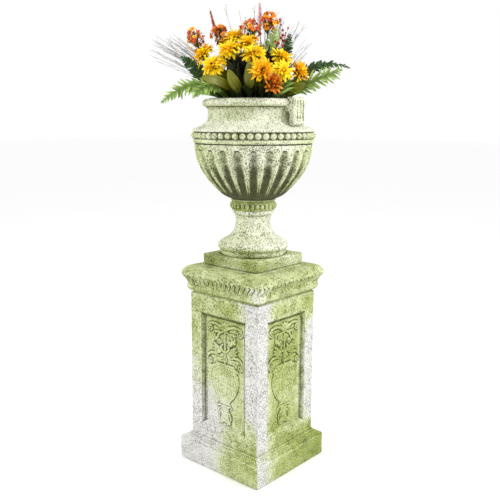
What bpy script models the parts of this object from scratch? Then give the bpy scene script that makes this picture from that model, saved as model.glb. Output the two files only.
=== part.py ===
"""Weathered cast-stone garden urn on a square pedestal, with an arrangement of artificial flowers.

Three groups lift apart: the pedestal, the urn that stands on it, and the flowers in their liner.
Metres, +Z up, origin on the floor under the pedestal's centre. The -Y and +X faces are the front
two; the flowers are laid out as seen by someone who faces the corner between them.
"""
import math

import bmesh
import bpy
from mathutils import Matrix, Vector

# ---- driving dimensions -------------------------------------------------------------------
GAP = 0.0003                 # between two pieces that touch

BASE_HALF = 0.200            # square plinth
BASE_WALL_TOP = 0.0855
BASE_TOP = 0.1035
BASE_CORNER = 0.012

DIE_HALF = 0.1664            # trunk of the pedestal
DIE_TOP = 0.6621
DIE_HOLLOW_HALF = 0.121
DIE_CORNER = 0.005
RECESS_HALF = 0.1096         # mouth of the recess in each face
RECESS_BOTTOM = 0.1566
RECESS_TOP = 0.5943
REVEAL = 0.0165              # width of the moulded slope round the recess
REVEAL_DEPTH = 0.013
PANEL_THICK = 0.012
RELIEF_HIGH = 0.006

CAP_BOTTOM = DIE_TOP + GAP
CAP_TOP = 0.7678
CAP_CORNER = 0.030
LIP_DEPTH = 0.014            # locating lip that hangs inside the trunk
CAVITY_HALF = 0.098
CAVITY_TOP = 0.733

FOOT_HALF = 0.1324
FOOT_BOTTOM = CAP_TOP + GAP
FOOT_BLOCK_TOP = 0.810
SOCLE_TOP = 0.9732
ROD_RADIUS = 0.005
ROD_HOLE = 0.0065
COLLAR_TOP = 1.0130
EGGS = 28                    # small eggs round the collar
FLUTES = 24
FLUTE_DEPTH = 0.006
FLUTE_TURN = math.radians(11.0)
FLUTE_TOP = 1.190
LOWER_TOP = 1.2118           # rim of the lower bowl
MORTAR_TOP = 1.2145
RIM_TOP = 1.369
BOWL_FLOOR = 1.042

LUG_HALF = 0.030             # half the width of a handle lug
DOWEL_RADIUS = 0.005
DOWEL_HEIGHT = 1.332

FOAM_TOP = 1.350
STEM_START = FOAM_TOP + GAP
PLUG_HIGH = 0.004            # small block that holds the stems of one spray together
PLUG_DEEP = 0.005
PLUG_SINK = 0.0015
BLADE_PITCH = 0.0045
FACING = math.radians(41.0)  # direction of the side that the flowers show first

STONE = (0.70, 0.71, 0.60)
STEEL = (0.55, 0.56, 0.58)


# ---- helpers ------------------------------------------------------------------------------
def clear_scene():
    for item in list(bpy.data.objects):
        bpy.data.objects.remove(item, do_unlink=True)


def material(name, colour, roughness=0.85, metallic=0.0):
    """Principled material, made once for each piece."""
    made = bpy.data.materials.new(name)
    made.use_nodes = True
    shader = made.node_tree.nodes["Principled BSDF"]
    shader.inputs["Base Color"].default_value = (*colour, 1.0)
    shader.inputs["Roughness"].default_value = roughness
    shader.inputs["Metallic"].default_value = metallic
    made.diffuse_color = (*colour, 1.0)
    return made


def group(name):
    """Empty that carries the pieces which move together."""
    empty = bpy.data.objects.new(name, None)
    bpy.context.scene.collection.objects.link(empty)
    return empty


def piece(name, bm, parent, colour, roughness=0.85, metallic=0.0, smooth=False):
    """Turn a bmesh into a named object with its own material."""
    bmesh.ops.recalc_face_normals(bm, faces=bm.faces[:])
    mesh = bpy.data.meshes.new(name)
    bm.to_mesh(mesh)
    bm.free()
    if smooth:
        mesh.shade_smooth()
        mesh.set_sharp_from_angle(angle=math.radians(35.0))
    mesh.materials.append(material(name, colour, roughness, metallic))
    made = bpy.data.objects.new(name, mesh)
    bpy.context.scene.collection.objects.link(made)
    made.parent = parent
    return made


def cutter(name, bm):
    """Guide object for a Boolean, left out of the model."""
    made = piece(name, bm, None, (0.5, 0.5, 0.5))
    made.hide_render = True
    made.display_type = "WIRE"
    return made


def boolean(target, tool, operation="DIFFERENCE"):
    modifier = target.modifiers.new(tool.name, "BOOLEAN")
    modifier.operation = operation
    modifier.solver = "EXACT"
    modifier.use_self = operation == "UNION"
    modifier.object = tool


def skin(bm, rings, loop=False):
    """Join rings of points into one closed surface; caps the ends, or closes the loop of rings."""
    rows = [[bm.verts.new(point) for point in ring] for ring in rings]
    count = len(rows[0])
    pairs = list(zip(rows, rows[1:]))
    if loop:
        pairs.append((rows[-1], rows[0]))
    for low, high in pairs:
        for i in range(count):
            j = (i + 1) % count
            bm.faces.new((low[i], low[j], high[j], high[i]))
    if not loop:
        bm.faces.new(rows[0])
        bm.faces.new(rows[-1])
    return bm


def square_ring(half, corner, z, steps=3):
    """Square with round corners, as a ring of points."""
    ring = []
    for quarter in range(4):
        middle = math.radians(45.0 + 90.0 * quarter)
        centre = Vector((math.copysign(half - corner, math.cos(middle)),
                         math.copysign(half - corner, math.sin(middle)), z))
        for step in range(steps + 1):
            angle = math.radians(90.0 * quarter + 90.0 * step / steps)
            ring.append(centre + Vector((corner * math.cos(angle), corner * math.sin(angle), 0.0)))
    return ring


def square_solid(profile, corner, steps=3):
    """Solid with a square plan through (half width, height) pairs."""
    rings = [square_ring(half, min(corner, half * 0.9), z, steps) for half, z in profile]
    return skin(bmesh.new(), rings)


def round_ring(radius, z, segments, shape=None):
    ring = []
    for i in range(segments):
        angle = 2.0 * math.pi * i / segments
        reach = radius if shape is None else shape(radius, z, angle)
        ring.append(Vector((reach * math.cos(angle), reach * math.sin(angle), z)))
    return ring


def turned(profile, segments, loop=False):
    """Solid spun from (radius, height) pairs; with loop, a ring round a hole."""
    bm = bmesh.new()
    line = [bm.verts.new((radius, 0.0, z)) for radius, z in profile]
    edges = [bm.edges.new(pair) for pair in zip(line, line[1:])]
    if loop:
        edges.append(bm.edges.new((line[-1], line[0])))
    bmesh.ops.spin(bm, geom=line + edges, axis=(0.0, 0.0, 1.0), cent=(0.0, 0.0, 0.0),
                   angle=2.0 * math.pi, steps=segments, use_merge=True)
    if not loop:
        bmesh.ops.holes_fill(bm, edges=[edge for edge in bm.edges if edge.is_boundary])
    return bm


def arc(centre, radius, start, end, steps):
    """Points (x, z) on an arc between two angles in degrees."""
    points = []
    for step in range(steps + 1):
        angle = math.radians(start + (end - start) * step / steps)
        points.append((centre[0] + radius * math.cos(angle), centre[1] + radius * math.sin(angle)))
    return points


def prism(points, push):
    """Solid made by pushing a flat outline along a vector."""
    bm = bmesh.new()
    face = bm.faces.new([bm.verts.new(point) for point in points])
    made = bmesh.ops.extrude_face_region(bm, geom=[face], use_keep_orig=True)["geom"]
    moved = [item for item in made if isinstance(item, bmesh.types.BMVert)]
    bmesh.ops.translate(bm, vec=push, verts=moved)
    return bm


def turn_about_z(point, angle):
    c, s = math.cos(angle), math.sin(angle)
    return Vector((point.x * c - point.y * s, point.x * s + point.y * c, point.z))


# ---- pedestal -----------------------------------------------------------------------------
def pedestal_base(parent):
    """Square plinth with a sloped top edge."""
    profile = [(BASE_HALF - 0.003, 0.0), (BASE_HALF, 0.003), (BASE_HALF, BASE_WALL_TOP - 0.003),
               (BASE_HALF - 0.003, BASE_WALL_TOP), (DIE_HALF + 0.006, BASE_TOP - 0.002),
               (DIE_HALF + 0.002, BASE_TOP)]
    return piece("pedestal_base", square_solid(profile, BASE_CORNER), parent, STONE)


def recess_tool(turn):
    """Recess with sloped sides and a straight seat for the panel, in one face of the trunk."""
    steps = [(-0.010, 0.0), (0.0, 0.0), (REVEAL_DEPTH, REVEAL),
             (REVEAL_DEPTH + PANEL_THICK + GAP, REVEAL)]
    rings = []
    for depth, inset in steps:
        half = RECESS_HALF - inset
        low, high = RECESS_BOTTOM + inset, RECESS_TOP - inset
        corners = ((-half, low), (half, low), (half, high), (-half, high))
        rings.append([turn_about_z(Vector((x, depth - DIE_HALF, z)), turn) for x, z in corners])
    return skin(bmesh.new(), rings)


def pedestal_die(parent):
    """Hollow square trunk with a recess in each face."""
    low, high = BASE_TOP + GAP, DIE_TOP
    solid = square_solid([(DIE_HALF, low), (DIE_HALF, high - 0.003), (DIE_HALF - 0.002, high)],
                         DIE_CORNER)
    die = piece("pedestal_die", solid, parent, STONE)
    hollow = cutter("die_hollow", square_solid([(DIE_HOLLOW_HALF, low - 0.01),
                                                (DIE_HOLLOW_HALF, high + 0.01)], 0.008))
    boolean(die, hollow)
    for side in range(4):
        boolean(die, cutter(f"die_recess_{side}", recess_tool(side * math.pi / 2.0)))
    return die


def relief_outline():
    """Right half of the arabesque's silhouette as (x, z), top to bottom: palmette, volute,
    stem, spreading leaves, second volute, vase and its foot."""
    return [(0.0, 0.572), (0.020, 0.567), (0.040, 0.556), (0.066, 0.559), (0.084, 0.549),
            (0.087, 0.535), (0.074, 0.525), (0.045, 0.531), (0.036, 0.518), (0.039, 0.500),
            (0.022, 0.482), (0.025, 0.464), (0.060, 0.482), (0.064, 0.462), (0.052, 0.446),
            (0.084, 0.432), (0.089, 0.412), (0.076, 0.398), (0.067, 0.384), (0.068, 0.345),
            (0.056, 0.305), (0.032, 0.278), (0.032, 0.256), (0.041, 0.244), (0.034, 0.230),
            (0.034, 0.192), (0.020, 0.179), (0.0, 0.177)]


def relief_panel(name, turn, parent):
    """Cast slab in a recess, with a raised symmetric arabesque."""
    half = RECESS_HALF - REVEAL - GAP
    low, high = RECESS_BOTTOM + REVEAL + GAP, RECESS_TOP - REVEAL - GAP
    face = -(DIE_HALF - REVEAL_DEPTH)
    corners = [(-half, low), (half, low), (half, high), (-half, high)]
    right = relief_outline()
    left = [(-x, z) for x, z in reversed(right[1:-1])]

    def slab(outline, front, thick):
        points = [turn_about_z(Vector((x, front, z)), turn) for x, z in outline]
        return prism(points, turn_about_z(Vector((0.0, thick, 0.0)), turn))

    panel = piece(name, slab(corners, face, PANEL_THICK - GAP), parent, STONE)
    raised = slab(right + left, face - RELIEF_HIGH, RELIEF_HIGH + 0.004)
    boolean(panel, cutter(name + "_relief", raised), "UNION")
    return panel


def pedestal_cap(parent):
    """Neck, carved band, big rounded moulding and flat top, hollow below, with a lip."""
    profile = [(0.142, CAP_TOP), (0.160, CAP_TOP - 0.003), (0.176, 0.7640), (0.188, 0.7575),
               (0.196, 0.7475), (0.199, 0.7365), (0.1965, 0.7270), (0.190, 0.7200),
               (0.185, 0.7120), (0.182, 0.6980), (0.184, 0.6925), (0.184, 0.6790),
               (0.176, 0.6720), (0.168, CAP_BOTTOM + 0.005), (0.166, CAP_BOTTOM),
               (DIE_HOLLOW_HALF - 0.002, CAP_BOTTOM),
               (DIE_HOLLOW_HALF - 0.003, CAP_BOTTOM - LIP_DEPTH),
               (CAVITY_HALF, CAP_BOTTOM - LIP_DEPTH), (CAVITY_HALF, CAVITY_TOP)]
    return piece("pedestal_cap", square_solid(profile, CAP_CORNER), parent, STONE)


# ---- urn ----------------------------------------------------------------------------------
def urn_foot(parent):
    """Square foot block and turned socle, drilled for the rod and hollow below."""
    block = square_solid([(FOOT_HALF, FOOT_BOTTOM), (FOOT_HALF, FOOT_BLOCK_TOP - 0.003),
                          (FOOT_HALF - 0.003, FOOT_BLOCK_TOP)], 0.006)
    foot = piece("urn_foot", block, parent, STONE)
    socle = [(0.119, FOOT_BLOCK_TOP - 0.006), (0.121, 0.816), (0.123, 0.830), (0.130, 0.837),
             (0.1305, 0.843), (0.127, 0.851), (0.113, 0.861), (0.087, 0.875), (0.073, 0.894),
             (0.065, 0.922), (0.065, 0.948), (0.0765, 0.962), (0.078, SOCLE_TOP)]
    boolean(foot, cutter("foot_socle", turned(socle, 40)), "UNION")
    bore = [(0.055, FOOT_BOTTOM - 0.01), (0.055, 0.800), (ROD_HOLE, 0.800),
            (ROD_HOLE, SOCLE_TOP + 0.01)]
    boolean(foot, cutter("foot_bore", turned(bore, 24)))
    return foot


def urn_collar(parent):
    """Small ring with a row of eggs between socle and bowl."""
    low = SOCLE_TOP + GAP

    def eggs(radius, z, angle):
        bulge = max(0.0, 1.0 - abs(z - 0.989) / 0.012) if radius > 0.05 else 0.0
        return radius + 0.003 * bulge * (abs(math.cos(EGGS * angle / 2.0)) - 0.5)

    profile = [(0.078, low), (0.085, 0.980), (0.0865, 0.989), (0.083, 0.999),
               (0.080, COLLAR_TOP), (ROD_HOLE, COLLAR_TOP), (ROD_HOLE, low)]
    rings = [round_ring(radius, z, 2 * EGGS, eggs) for radius, z in profile]
    return piece("urn_collar", skin(bmesh.new(), rings, True), parent, STONE)


def flute(radius, z, angle):
    """Radius with the hollow of a flute taken off; the flutes end below the bowl's rim."""
    if not COLLAR_TOP + 0.005 < z < FLUTE_TOP:
        return radius
    phase = (angle - FLUTE_TURN) * FLUTES / (2.0 * math.pi)
    return radius - FLUTE_DEPTH * (0.5 + 0.5 * math.cos(2.0 * math.pi * phase))


def lower_bowl(parent):
    """Fluted half-round bowl with a hole for the rod."""
    low = COLLAR_TOP + GAP
    outer = [(0.081, low), (0.107, 1.025), (0.1385, 1.053), (0.167, 1.084), (0.189, 1.117),
             (0.204, 1.149), (0.211, 1.180), (0.2135, 1.195), (0.2138, LOWER_TOP)]
    inner = [(0.190, LOWER_TOP), (0.184, 1.160), (0.150, 1.097), (0.110, 1.060),
             (0.075, BOWL_FLOOR), (ROD_HOLE, BOWL_FLOOR), (ROD_HOLE, low)]
    segments = 3 * FLUTES
    rings = [round_ring(radius, z, segments, flute) for radius, z in outer]
    rings += [round_ring(radius, z, segments) for radius, z in inner]
    return piece("lower_bowl", skin(bmesh.new(), rings, True), parent, STONE, smooth=True)


def seam_mortar(parent):
    """Thin bed of mortar in the seam between the bowls."""
    low, high = LOWER_TOP + GAP, MORTAR_TOP
    profile = [(0.2120, low), (0.2120, high), (0.1920, high), (0.1920, low)]
    return piece("seam_mortar", turned(profile, 48, True), parent, (0.20, 0.20, 0.15))


def upper_outer_profile():
    """Outside of the upper bowl, seam to rim."""
    band = arc((0.2170, 1.2425), 0.0090, -70.0, 70.0, 4)
    lip = arc((0.1730, 1.3550), 0.0120, -55.0, 62.0, 3)
    return ([(0.2138, MORTAR_TOP + GAP), (0.219, 1.2185), (0.219, 1.2270)] + band
            + [(0.2225, 1.2560), (0.2230, 1.2625), (0.2100, 1.2675), (0.1970, 1.2740),
               (0.1790, 1.2815), (0.1690, 1.2930), (0.1645, 1.3130), (0.1650, 1.3310)] + lip
            + [(0.1720, RIM_TOP)])


def upper_bowl(parent):
    """Beaded band, shoulder, neck and rolled rim."""
    inner = [(0.1500, RIM_TOP), (0.1430, 1.3620), (0.1410, 1.3150), (0.1440, 1.2930),
             (0.1700, 1.2690), (0.1960, 1.2480), (0.1930, MORTAR_TOP + GAP)]
    bowl = piece("upper_bowl", turned(upper_outer_profile() + inner, 48, True), parent, STONE,
                 smooth=True)
    for name, side in (("right", 1.0), ("left", -1.0)):
        hole = dowel_solid(side, DOWEL_RADIUS + GAP, 0.150, 0.190)
        boolean(bowl, cutter(f"dowel_hole_{name}", hole))
    return bowl


def dowel_solid(side, radius, start, end):
    """Round bar along X through the neck, on one side."""
    solid = bmesh.new()
    place = Matrix.Translation((side * 0.5 * (start + end), 0.0, DOWEL_HEIGHT))
    bmesh.ops.create_cone(solid, cap_ends=True, segments=12, radius1=radius, radius2=radius,
                          depth=end - start,
                          matrix=place @ Matrix.Rotation(math.radians(90.0), 4, "Y"))
    return solid


def lug_outline():
    """Side view of a handle lug as (x, z): flat top over the rim, bowed front, scroll below."""
    top = [(0.1780, 1.3735), (0.2000, 1.3735)]
    front = [(0.2050, 1.3680), (0.2070, 1.3450), (0.2060, 1.3150), (0.2080, 1.3000)]
    scroll = arc((0.1960, 1.2888), 0.0115, 20.0, -200.0, 8)
    back = [(0.1850, 1.3030), (0.1855, 1.3180), (0.1790, 1.3260), (0.1640, 1.3270),
            (0.1640, 1.3370)]
    return top + front + scroll + back


def handle(name, side, parent):
    """Bracket lug that hooks over the rim and hangs clear of the neck."""
    outline = [Vector((side * x, -LUG_HALF, z)) for x, z in lug_outline()]
    lug = piece(name, prism(outline, Vector((0.0, 2.0 * LUG_HALF, 0.0))), parent, STONE)
    rim = [(radius + 0.0006, z) for radius, z in upper_outer_profile() if z > 1.31]
    seat = ([(0.10, 1.300), (rim[0][0], 1.300)] + rim
            + [(rim[-1][0] + 0.0004, RIM_TOP + 0.0007), (0.10, RIM_TOP + 0.0007)])
    boolean(lug, cutter(name + "_seat", turned(seat, 48)))
    boolean(lug, cutter(name + "_hole", dowel_solid(side, DOWEL_RADIUS + GAP, 0.160, 0.1935)))
    return lug


def hexagon_nut(name, low, parent):
    bore, corner, high, half_side = ROD_RADIUS + GAP, 0.0098, low + 0.008, math.radians(30.0)

    def hexagon(radius, z, angle):
        return radius * math.cos(half_side) / math.cos(angle % (2.0 * half_side) - half_side)

    rings = [round_ring(corner, low, 12, hexagon), round_ring(corner, high, 12, hexagon),
             round_ring(bore, high, 12), round_ring(bore, low, 12)]
    return piece(name, skin(bmesh.new(), rings, True), parent, STEEL, 0.4, 1.0)


def washer(name, low, parent):
    profile = [(0.018, low), (0.018, low + 0.003), (ROD_RADIUS + 0.0008, low + 0.003),
               (ROD_RADIUS + 0.0008, low)]
    return piece(name, turned(profile, 20, True), parent, STEEL, 0.4, 1.0)


def clamp(parent):
    """Threaded rod with a washer and a nut at each end, which pulls foot and bowl together."""
    rod = [(ROD_RADIUS * 0.8, 0.780), (ROD_RADIUS * 0.95, 0.782), (ROD_RADIUS * 0.95, 1.062),
           (ROD_RADIUS * 0.8, 1.064)]
    piece("tie_rod", turned(rod, 12), parent, STEEL, 0.4, 1.0)
    washer("rod_washer_lower", 0.800 - GAP - 0.003, parent)
    hexagon_nut("rod_nut_lower", 0.800 - 2 * GAP - 0.011, parent)
    washer("rod_washer_upper", BOWL_FLOOR + GAP, parent)
    hexagon_nut("rod_nut_upper", BOWL_FLOOR + 2 * GAP + 0.003, parent)


# ---- arrangement --------------------------------------------------------------------------
UP = Vector((0.0, 0.0, 1.0))


def spot(across, toward, height):
    """World point from metres to the right, towards the viewer and up, facing the flowers."""
    c, s = math.cos(FACING), math.sin(FACING)
    return Vector((across * c + toward * s, across * s - toward * c, height))


def bezier(a, b, c, d, count):
    points = []
    for i in range(count):
        t = i / (count - 1)
        u = 1.0 - t
        points.append(a * u ** 3 + b * (3.0 * u * u * t) + c * (3.0 * u * t * t) + d * t ** 3)
    return points


def sweep(bm, points, sizes, wide_way, sides=6, face=None):
    """Closed rod or blade along points, cut level at its root. sizes are (half width, half
    thickness) pairs. The wide way is the one given, or square to face where face is given."""
    rings = []
    for i, point in enumerate(points):
        ahead = UP
        if i > 0:
            ahead = (points[min(i + 1, len(points) - 1)] - points[i - 1]).normalized()
        across = ahead.cross(face) if face else wide_way - ahead * wide_way.dot(ahead)
        across.normalize()
        normal = across.cross(ahead)
        wide, thick = sizes[i]
        ring = []
        for k in range(sides):
            angle = 2.0 * math.pi * k / sides
            ring.append(point + across * (wide * math.cos(angle))
                        + normal * (thick * math.sin(angle)))
        rings.append(ring)
    return skin(bm, rings)


def rooted(root, bend, tip, count, lift=0.0):
    """Curve from the foam's top, first straight up, then through a bend to the tip."""
    start = spot(root[0], root[1], STEM_START + lift)
    return bezier(start, start + Vector((0.0, 0.0, 0.05)), spot(*bend), spot(*tip), count)


def side_of(point):
    """Horizontal direction square to the vertical plane through the axis and the point."""
    flat = Vector((point.x, point.y, 0.0))
    if flat.length < 1e-6:
        flat = Vector((1.0, 0.0, 0.0))
    flat.normalize()
    return Vector((-flat.y, flat.x, 0.0))


def liner_pot(parent):
    """Plastic liner that hangs in the mouth by its flange."""
    high = RIM_TOP + GAP + 0.002
    profile = [(0.1600, RIM_TOP + GAP), (0.1600, high), (0.1310, high), (0.1300, 1.3500),
               (0.1040, 1.1030), (0.010, 1.1030), (0.010, 1.1005), (0.1065, 1.1005),
               (0.1330, 1.3600), (0.1340, RIM_TOP + GAP)]
    return piece("liner_pot", turned(profile, 32, True), parent, (0.04, 0.05, 0.04), 0.5,
                 smooth=True)


def floral_foam(parent):
    profile = [(0.1060, 1.1350), (0.1270, FOAM_TOP - 0.010), (0.1200, FOAM_TOP)]
    return piece("floral_foam", turned(profile, 24), parent, (0.12, 0.20, 0.09), 0.95)


def sunflower(name, root, head, radius, parent):
    """Flower head on its stem; the head faces away from the middle of the bouquet."""
    centre = spot(*head)
    facing = (centre - Vector((0.0, 0.0, 1.37))).normalized()
    start = spot(root[0], root[1], STEM_START)
    back = centre - facing * 0.012
    stem = bezier(start, start + Vector((0.0, 0.0, 0.03)), back - facing * 0.035, back, 6)
    shape = [(0.0, 0.0025)] * 6 + [(0.004, 0.010), (0.010, radius * 0.55), (0.017, radius),
                                   (0.0195, radius * 0.96), (0.0225, radius * 0.40)]
    points = stem + [back + facing * along for along, _ in shape[6:]]
    sizes = [(size, size) for _, size in shape]
    flower = sweep(bmesh.new(), points, sizes, side_of(centre), 8)
    bmesh.ops.triangulate(flower, faces=flower.faces[:])    # its twisted squares aren't flat
    return piece(name, flower, parent, (0.85, 0.60, 0.04), 0.8)


def frond(name, root, bend, tip, width, flat, parent):
    """Fern frond as one tapered blade on a thin stalk, lying flat or facing the viewer."""
    points = rooted(root, bend, tip, 9)
    wide_way = side_of(points[-1] - points[0])
    face = None if flat else spot(0.0, 1.0, 0.0)
    widths = [0.003, 0.003, 0.004, 0.6 * width, width, 0.95 * width, 0.8 * width,
              0.5 * width, 0.002]
    sizes = [(wide, 0.0025) for wide in widths]
    blade = sweep(bmesh.new(), points, sizes, wide_way, 4, face)
    return piece(name, blade, parent, (0.22, 0.36, 0.10))


def broad_leaf(name, root, bend, tip, width, parent):
    """Leaf blade on a stalk."""
    points = rooted(root, bend, tip, 8)
    widths = [0.002, 0.002, 0.0025, 0.7 * width, width, 0.9 * width, 0.55 * width, 0.001]
    sizes = [(wide, 0.002) for wide in widths]
    blade = sweep(bmesh.new(), points, sizes, UP, 4, spot(0.0, 1.0, 0.0))
    return piece(name, blade, parent, (0.26, 0.27, 0.05), 0.6)


def plugged(name, root, width, stems, parent, colour, roughness):
    """Join stems that start side by side to one small plug on the foam."""
    plug = bmesh.new()
    place = Matrix.Translation(spot(root[0], root[1], STEM_START + 0.5 * PLUG_HIGH))
    place = place @ Matrix.Rotation(FACING, 4, "Z") @ Matrix.Diagonal(
        (width, PLUG_DEEP, PLUG_HIGH, 1.0))
    bmesh.ops.create_cube(plug, size=1.0, matrix=place)
    made = piece(name, plug, parent, colour, roughness)
    boolean(made, cutter(name + "_stems", stems), "UNION")
    return made


def blade_spray(name, root, tips, parent, colour):
    """Fan of thin blades on one plug."""
    blades = bmesh.new()
    for i, tip in enumerate(tips):
        shift = BLADE_PITCH * (i - 0.5 * (len(tips) - 1))
        start = (root[0] + shift, root[1])
        middle = (0.45 * (start[0] + tip[0]), 0.45 * (start[1] + tip[1]), 0.55 * tip[2] + 0.62)
        points = rooted(start, middle, tip, 5, PLUG_SINK)
        sizes = [(0.0012, 0.0012)] * 4 + [(0.0006, 0.0006)]
        sweep(blades, points, sizes, side_of(points[-1]), 3)
    return plugged(name, root, BLADE_PITCH * len(tips), blades, parent, colour, 0.7)


def bulb_stem(solid, root, tip, bulb, length, lift=0.0):
    """Thin stalk that ends in a spindle: bulb is its radius, length its height."""
    top = spot(*tip)
    start = spot(root[0], root[1], STEM_START + lift)
    way = (top - start + Vector((0.0, 0.0, 0.10))).normalized()
    foot = top - way * length
    stalk = bezier(start, start + Vector((0.0, 0.0, 0.04)), foot - way * 0.05, foot, 5)
    swell = [(0.15, 0.65), (0.45, 1.0), (0.75, 0.75), (1.0, 0.12)]
    points = stalk + [foot + way * (length * along) for along, _ in swell]
    sizes = [(0.0018, 0.0018)] * 5 + [(bulb * wide, bulb * wide) for _, wide in swell]
    return sweep(solid, points, sizes, side_of(top), 7)


SUNFLOWERS = [               # root (across, toward), head (across, toward, height), radius
    ((-0.088, 0.012), (-0.178, 0.030, 1.524), 0.040),
    ((-0.076, 0.062), (-0.142, 0.118, 1.480), 0.040),
    ((-0.046, 0.058), (-0.086, 0.106, 1.536), 0.038),
    ((-0.038, 0.002), (-0.074, 0.012, 1.584), 0.038),
    ((-0.014, 0.040), (-0.026, 0.062, 1.560), 0.038),
    ((0.004, 0.066), (-0.002, 0.114, 1.520), 0.038),
    ((0.026, 0.090), (0.028, 0.170, 1.458), 0.038),
    ((0.050, 0.030), (0.098, 0.058, 1.512), 0.040),
    ((0.084, 0.034), (0.156, 0.060, 1.464), 0.038),
    ((0.048, 0.104), (0.062, 0.196, 1.416), 0.036),
    ((0.068, 0.072), (0.100, 0.128, 1.462), 0.036),
    ((-0.040, -0.050), (-0.090, -0.110, 1.520), 0.040),
    ((0.040, -0.098), (0.060, -0.155, 1.480), 0.040),
]

FRONDS = [                   # root, bend, tip, half width, True where the blade lies flat
    ((-0.108, 0.040), (-0.200, 0.060, 1.470), (-0.325, 0.075, 1.352), 0.030, True),
    ((-0.100, -0.020), (-0.180, -0.010, 1.450), (-0.262, -0.010, 1.520), 0.030, False),
    ((-0.082, 0.064), (-0.150, 0.140, 1.450), (-0.205, 0.175, 1.366), 0.022, True),
    ((0.040, -0.034), (0.050, -0.046, 1.520), (0.080, -0.054, 1.628), 0.022, False),
    ((0.086, -0.020), (0.105, -0.030, 1.500), (0.130, -0.040, 1.602), 0.020, False),
    ((0.104, -0.006), (0.200, 0.000, 1.540), (0.345, 0.000, 1.478), 0.026, True),
    ((0.112, 0.034), (0.190, 0.075, 1.420), (0.305, 0.085, 1.470), 0.026, True),
    ((-0.030, -0.104), (-0.060, -0.200, 1.470), (-0.090, -0.300, 1.400), 0.028, True),
]

LEAVES = [                   # root, bend, tip, half width
    ((-0.036, 0.104), (-0.070, 0.165, 1.400), (-0.084, 0.168, 1.462), 0.019),
    ((-0.012, 0.106), (-0.020, 0.168, 1.420), (-0.014, 0.160, 1.492), 0.017),
    ((-0.066, 0.096), (-0.100, 0.160, 1.430), (-0.178, 0.176, 1.432), 0.017),
    ((0.090, 0.078), (0.130, 0.120, 1.390), (0.176, 0.130, 1.420), 0.018),
    ((0.010, -0.108), (0.020, -0.190, 1.420), (0.040, -0.220, 1.470), 0.020),
]

GRASS_LEFT = [(-0.372, -0.010, 1.540), (-0.366, -0.030, 1.578), (-0.330, -0.040, 1.560),
              (-0.322, -0.055, 1.586), (-0.308, -0.070, 1.596), (-0.274, -0.080, 1.590),
              (-0.256, -0.100, 1.612)]
GRASS_RIGHT = [(0.046, -0.090, 1.696), (0.096, -0.095, 1.640), (0.112, -0.100, 1.664),
               (0.130, -0.105, 1.640), (0.156, -0.095, 1.628), (0.166, -0.085, 1.650),
               (0.210, -0.070, 1.572)]
TWIGS = [(-0.108, -0.060, 1.692), (-0.054, -0.064, 1.682), (0.002, -0.070, 1.702)]

BLOSSOMS = [                 # root, tip, bulb radius, bulb length
    ((-0.070, -0.012), (-0.222, -0.030, 1.612), 0.024, 0.075),
    ((-0.052, -0.022), (-0.128, -0.034, 1.626), 0.022, 0.055),
    ((-0.010, 0.000), (-0.012, -0.004, 1.640), 0.024, 0.060),
    ((0.014, -0.012), (0.056, -0.006, 1.668), 0.016, 0.050),
]


def arrangement(parent):
    """Liner, foam and everything that stands in it."""
    liner_pot(parent)
    floral_foam(parent)
    for number, (root, head, radius) in enumerate(SUNFLOWERS, 1):
        sunflower(f"sunflower_{number:02d}", root, head, radius, parent)
    for number, (root, bend, tip, width, flat) in enumerate(FRONDS, 1):
        frond(f"fern_frond_{number}", root, bend, tip, width, flat, parent)
    for number, (root, bend, tip, width) in enumerate(LEAVES, 1):
        broad_leaf(f"broad_leaf_{number}", root, bend, tip, width, parent)
    blade_spray("grass_spray_left", (-0.080, -0.055), GRASS_LEFT, parent, (0.35, 0.38, 0.28))
    blade_spray("grass_spray_right", (0.055, -0.085), GRASS_RIGHT, parent, (0.35, 0.38, 0.28))
    blade_spray("twig_spray", (-0.010, -0.070), TWIGS, parent, (0.30, 0.30, 0.20))
    for number, (root, tip, bulb, length) in enumerate(BLOSSOMS, 1):
        solid = bulb_stem(bmesh.new(), root, tip, bulb, length)
        piece(f"blossom_spray_{number}", solid, parent, (0.75, 0.25, 0.03))
    rust = bulb_stem(bmesh.new(), (-0.050, -0.075), (-0.160, -0.075, 1.686), 0.008, 0.080)
    piece("rust_spike", rust, parent, (0.42, 0.20, 0.07))
    pink = bulb_stem(bmesh.new(), (0.030, -0.045), (0.020, -0.055, 1.710), 0.008, 0.075)
    piece("pink_plume", pink, parent, (0.80, 0.55, 0.58))
    berries = bmesh.new()
    for root, tip in (((0.050, -0.014), (0.095, -0.002, 1.632)),
                      ((0.060, -0.014), (0.112, -0.012, 1.606))):
        bulb_stem(berries, root, tip, 0.006, 0.012, PLUG_SINK)
    plugged("berry_sprig", (0.055, -0.014), 0.016, berries, parent, (0.30, 0.03, 0.05), 0.35)


def main():
    clear_scene()
    pedestal, urn, flowers = group("pedestal_body"), group("urn_body"), group("flower_body")
    pedestal_base(pedestal)
    pedestal_die(pedestal)
    for number, side in enumerate(("front", "right", "back", "left")):
        relief_panel(f"relief_panel_{side}", number * math.pi / 2.0, pedestal)
    pedestal_cap(pedestal)
    urn_foot(urn)
    urn_collar(urn)
    lower_bowl(urn)
    seam_mortar(urn)
    upper_bowl(urn)
    for name, side in (("right", 1.0), ("left", -1.0)):
        handle(f"handle_{name}", side, urn)
        dowel = dowel_solid(side, DOWEL_RADIUS, 0.152, 0.1925)
        piece(f"dowel_{name}", dowel, urn, STEEL, 0.4, 1.0)
    clamp(urn)
    arrangement(flowers)


main()
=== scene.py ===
# %% [markdown]
# # A garden urn of flowers on its pedestal
#
# Three things stand on each other and lift apart: a hollow square pedestal of cast stone, an urn of
# the same stone, and an arrangement of artificial flowers in a plastic liner. The CAD frame fixes
# where each of them is. This script gives them their looks: mouldings, carving, moss and petals.

# %% The frame and the tools
import math

import bpy
import numpy as np
from mathutils import Matrix


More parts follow.
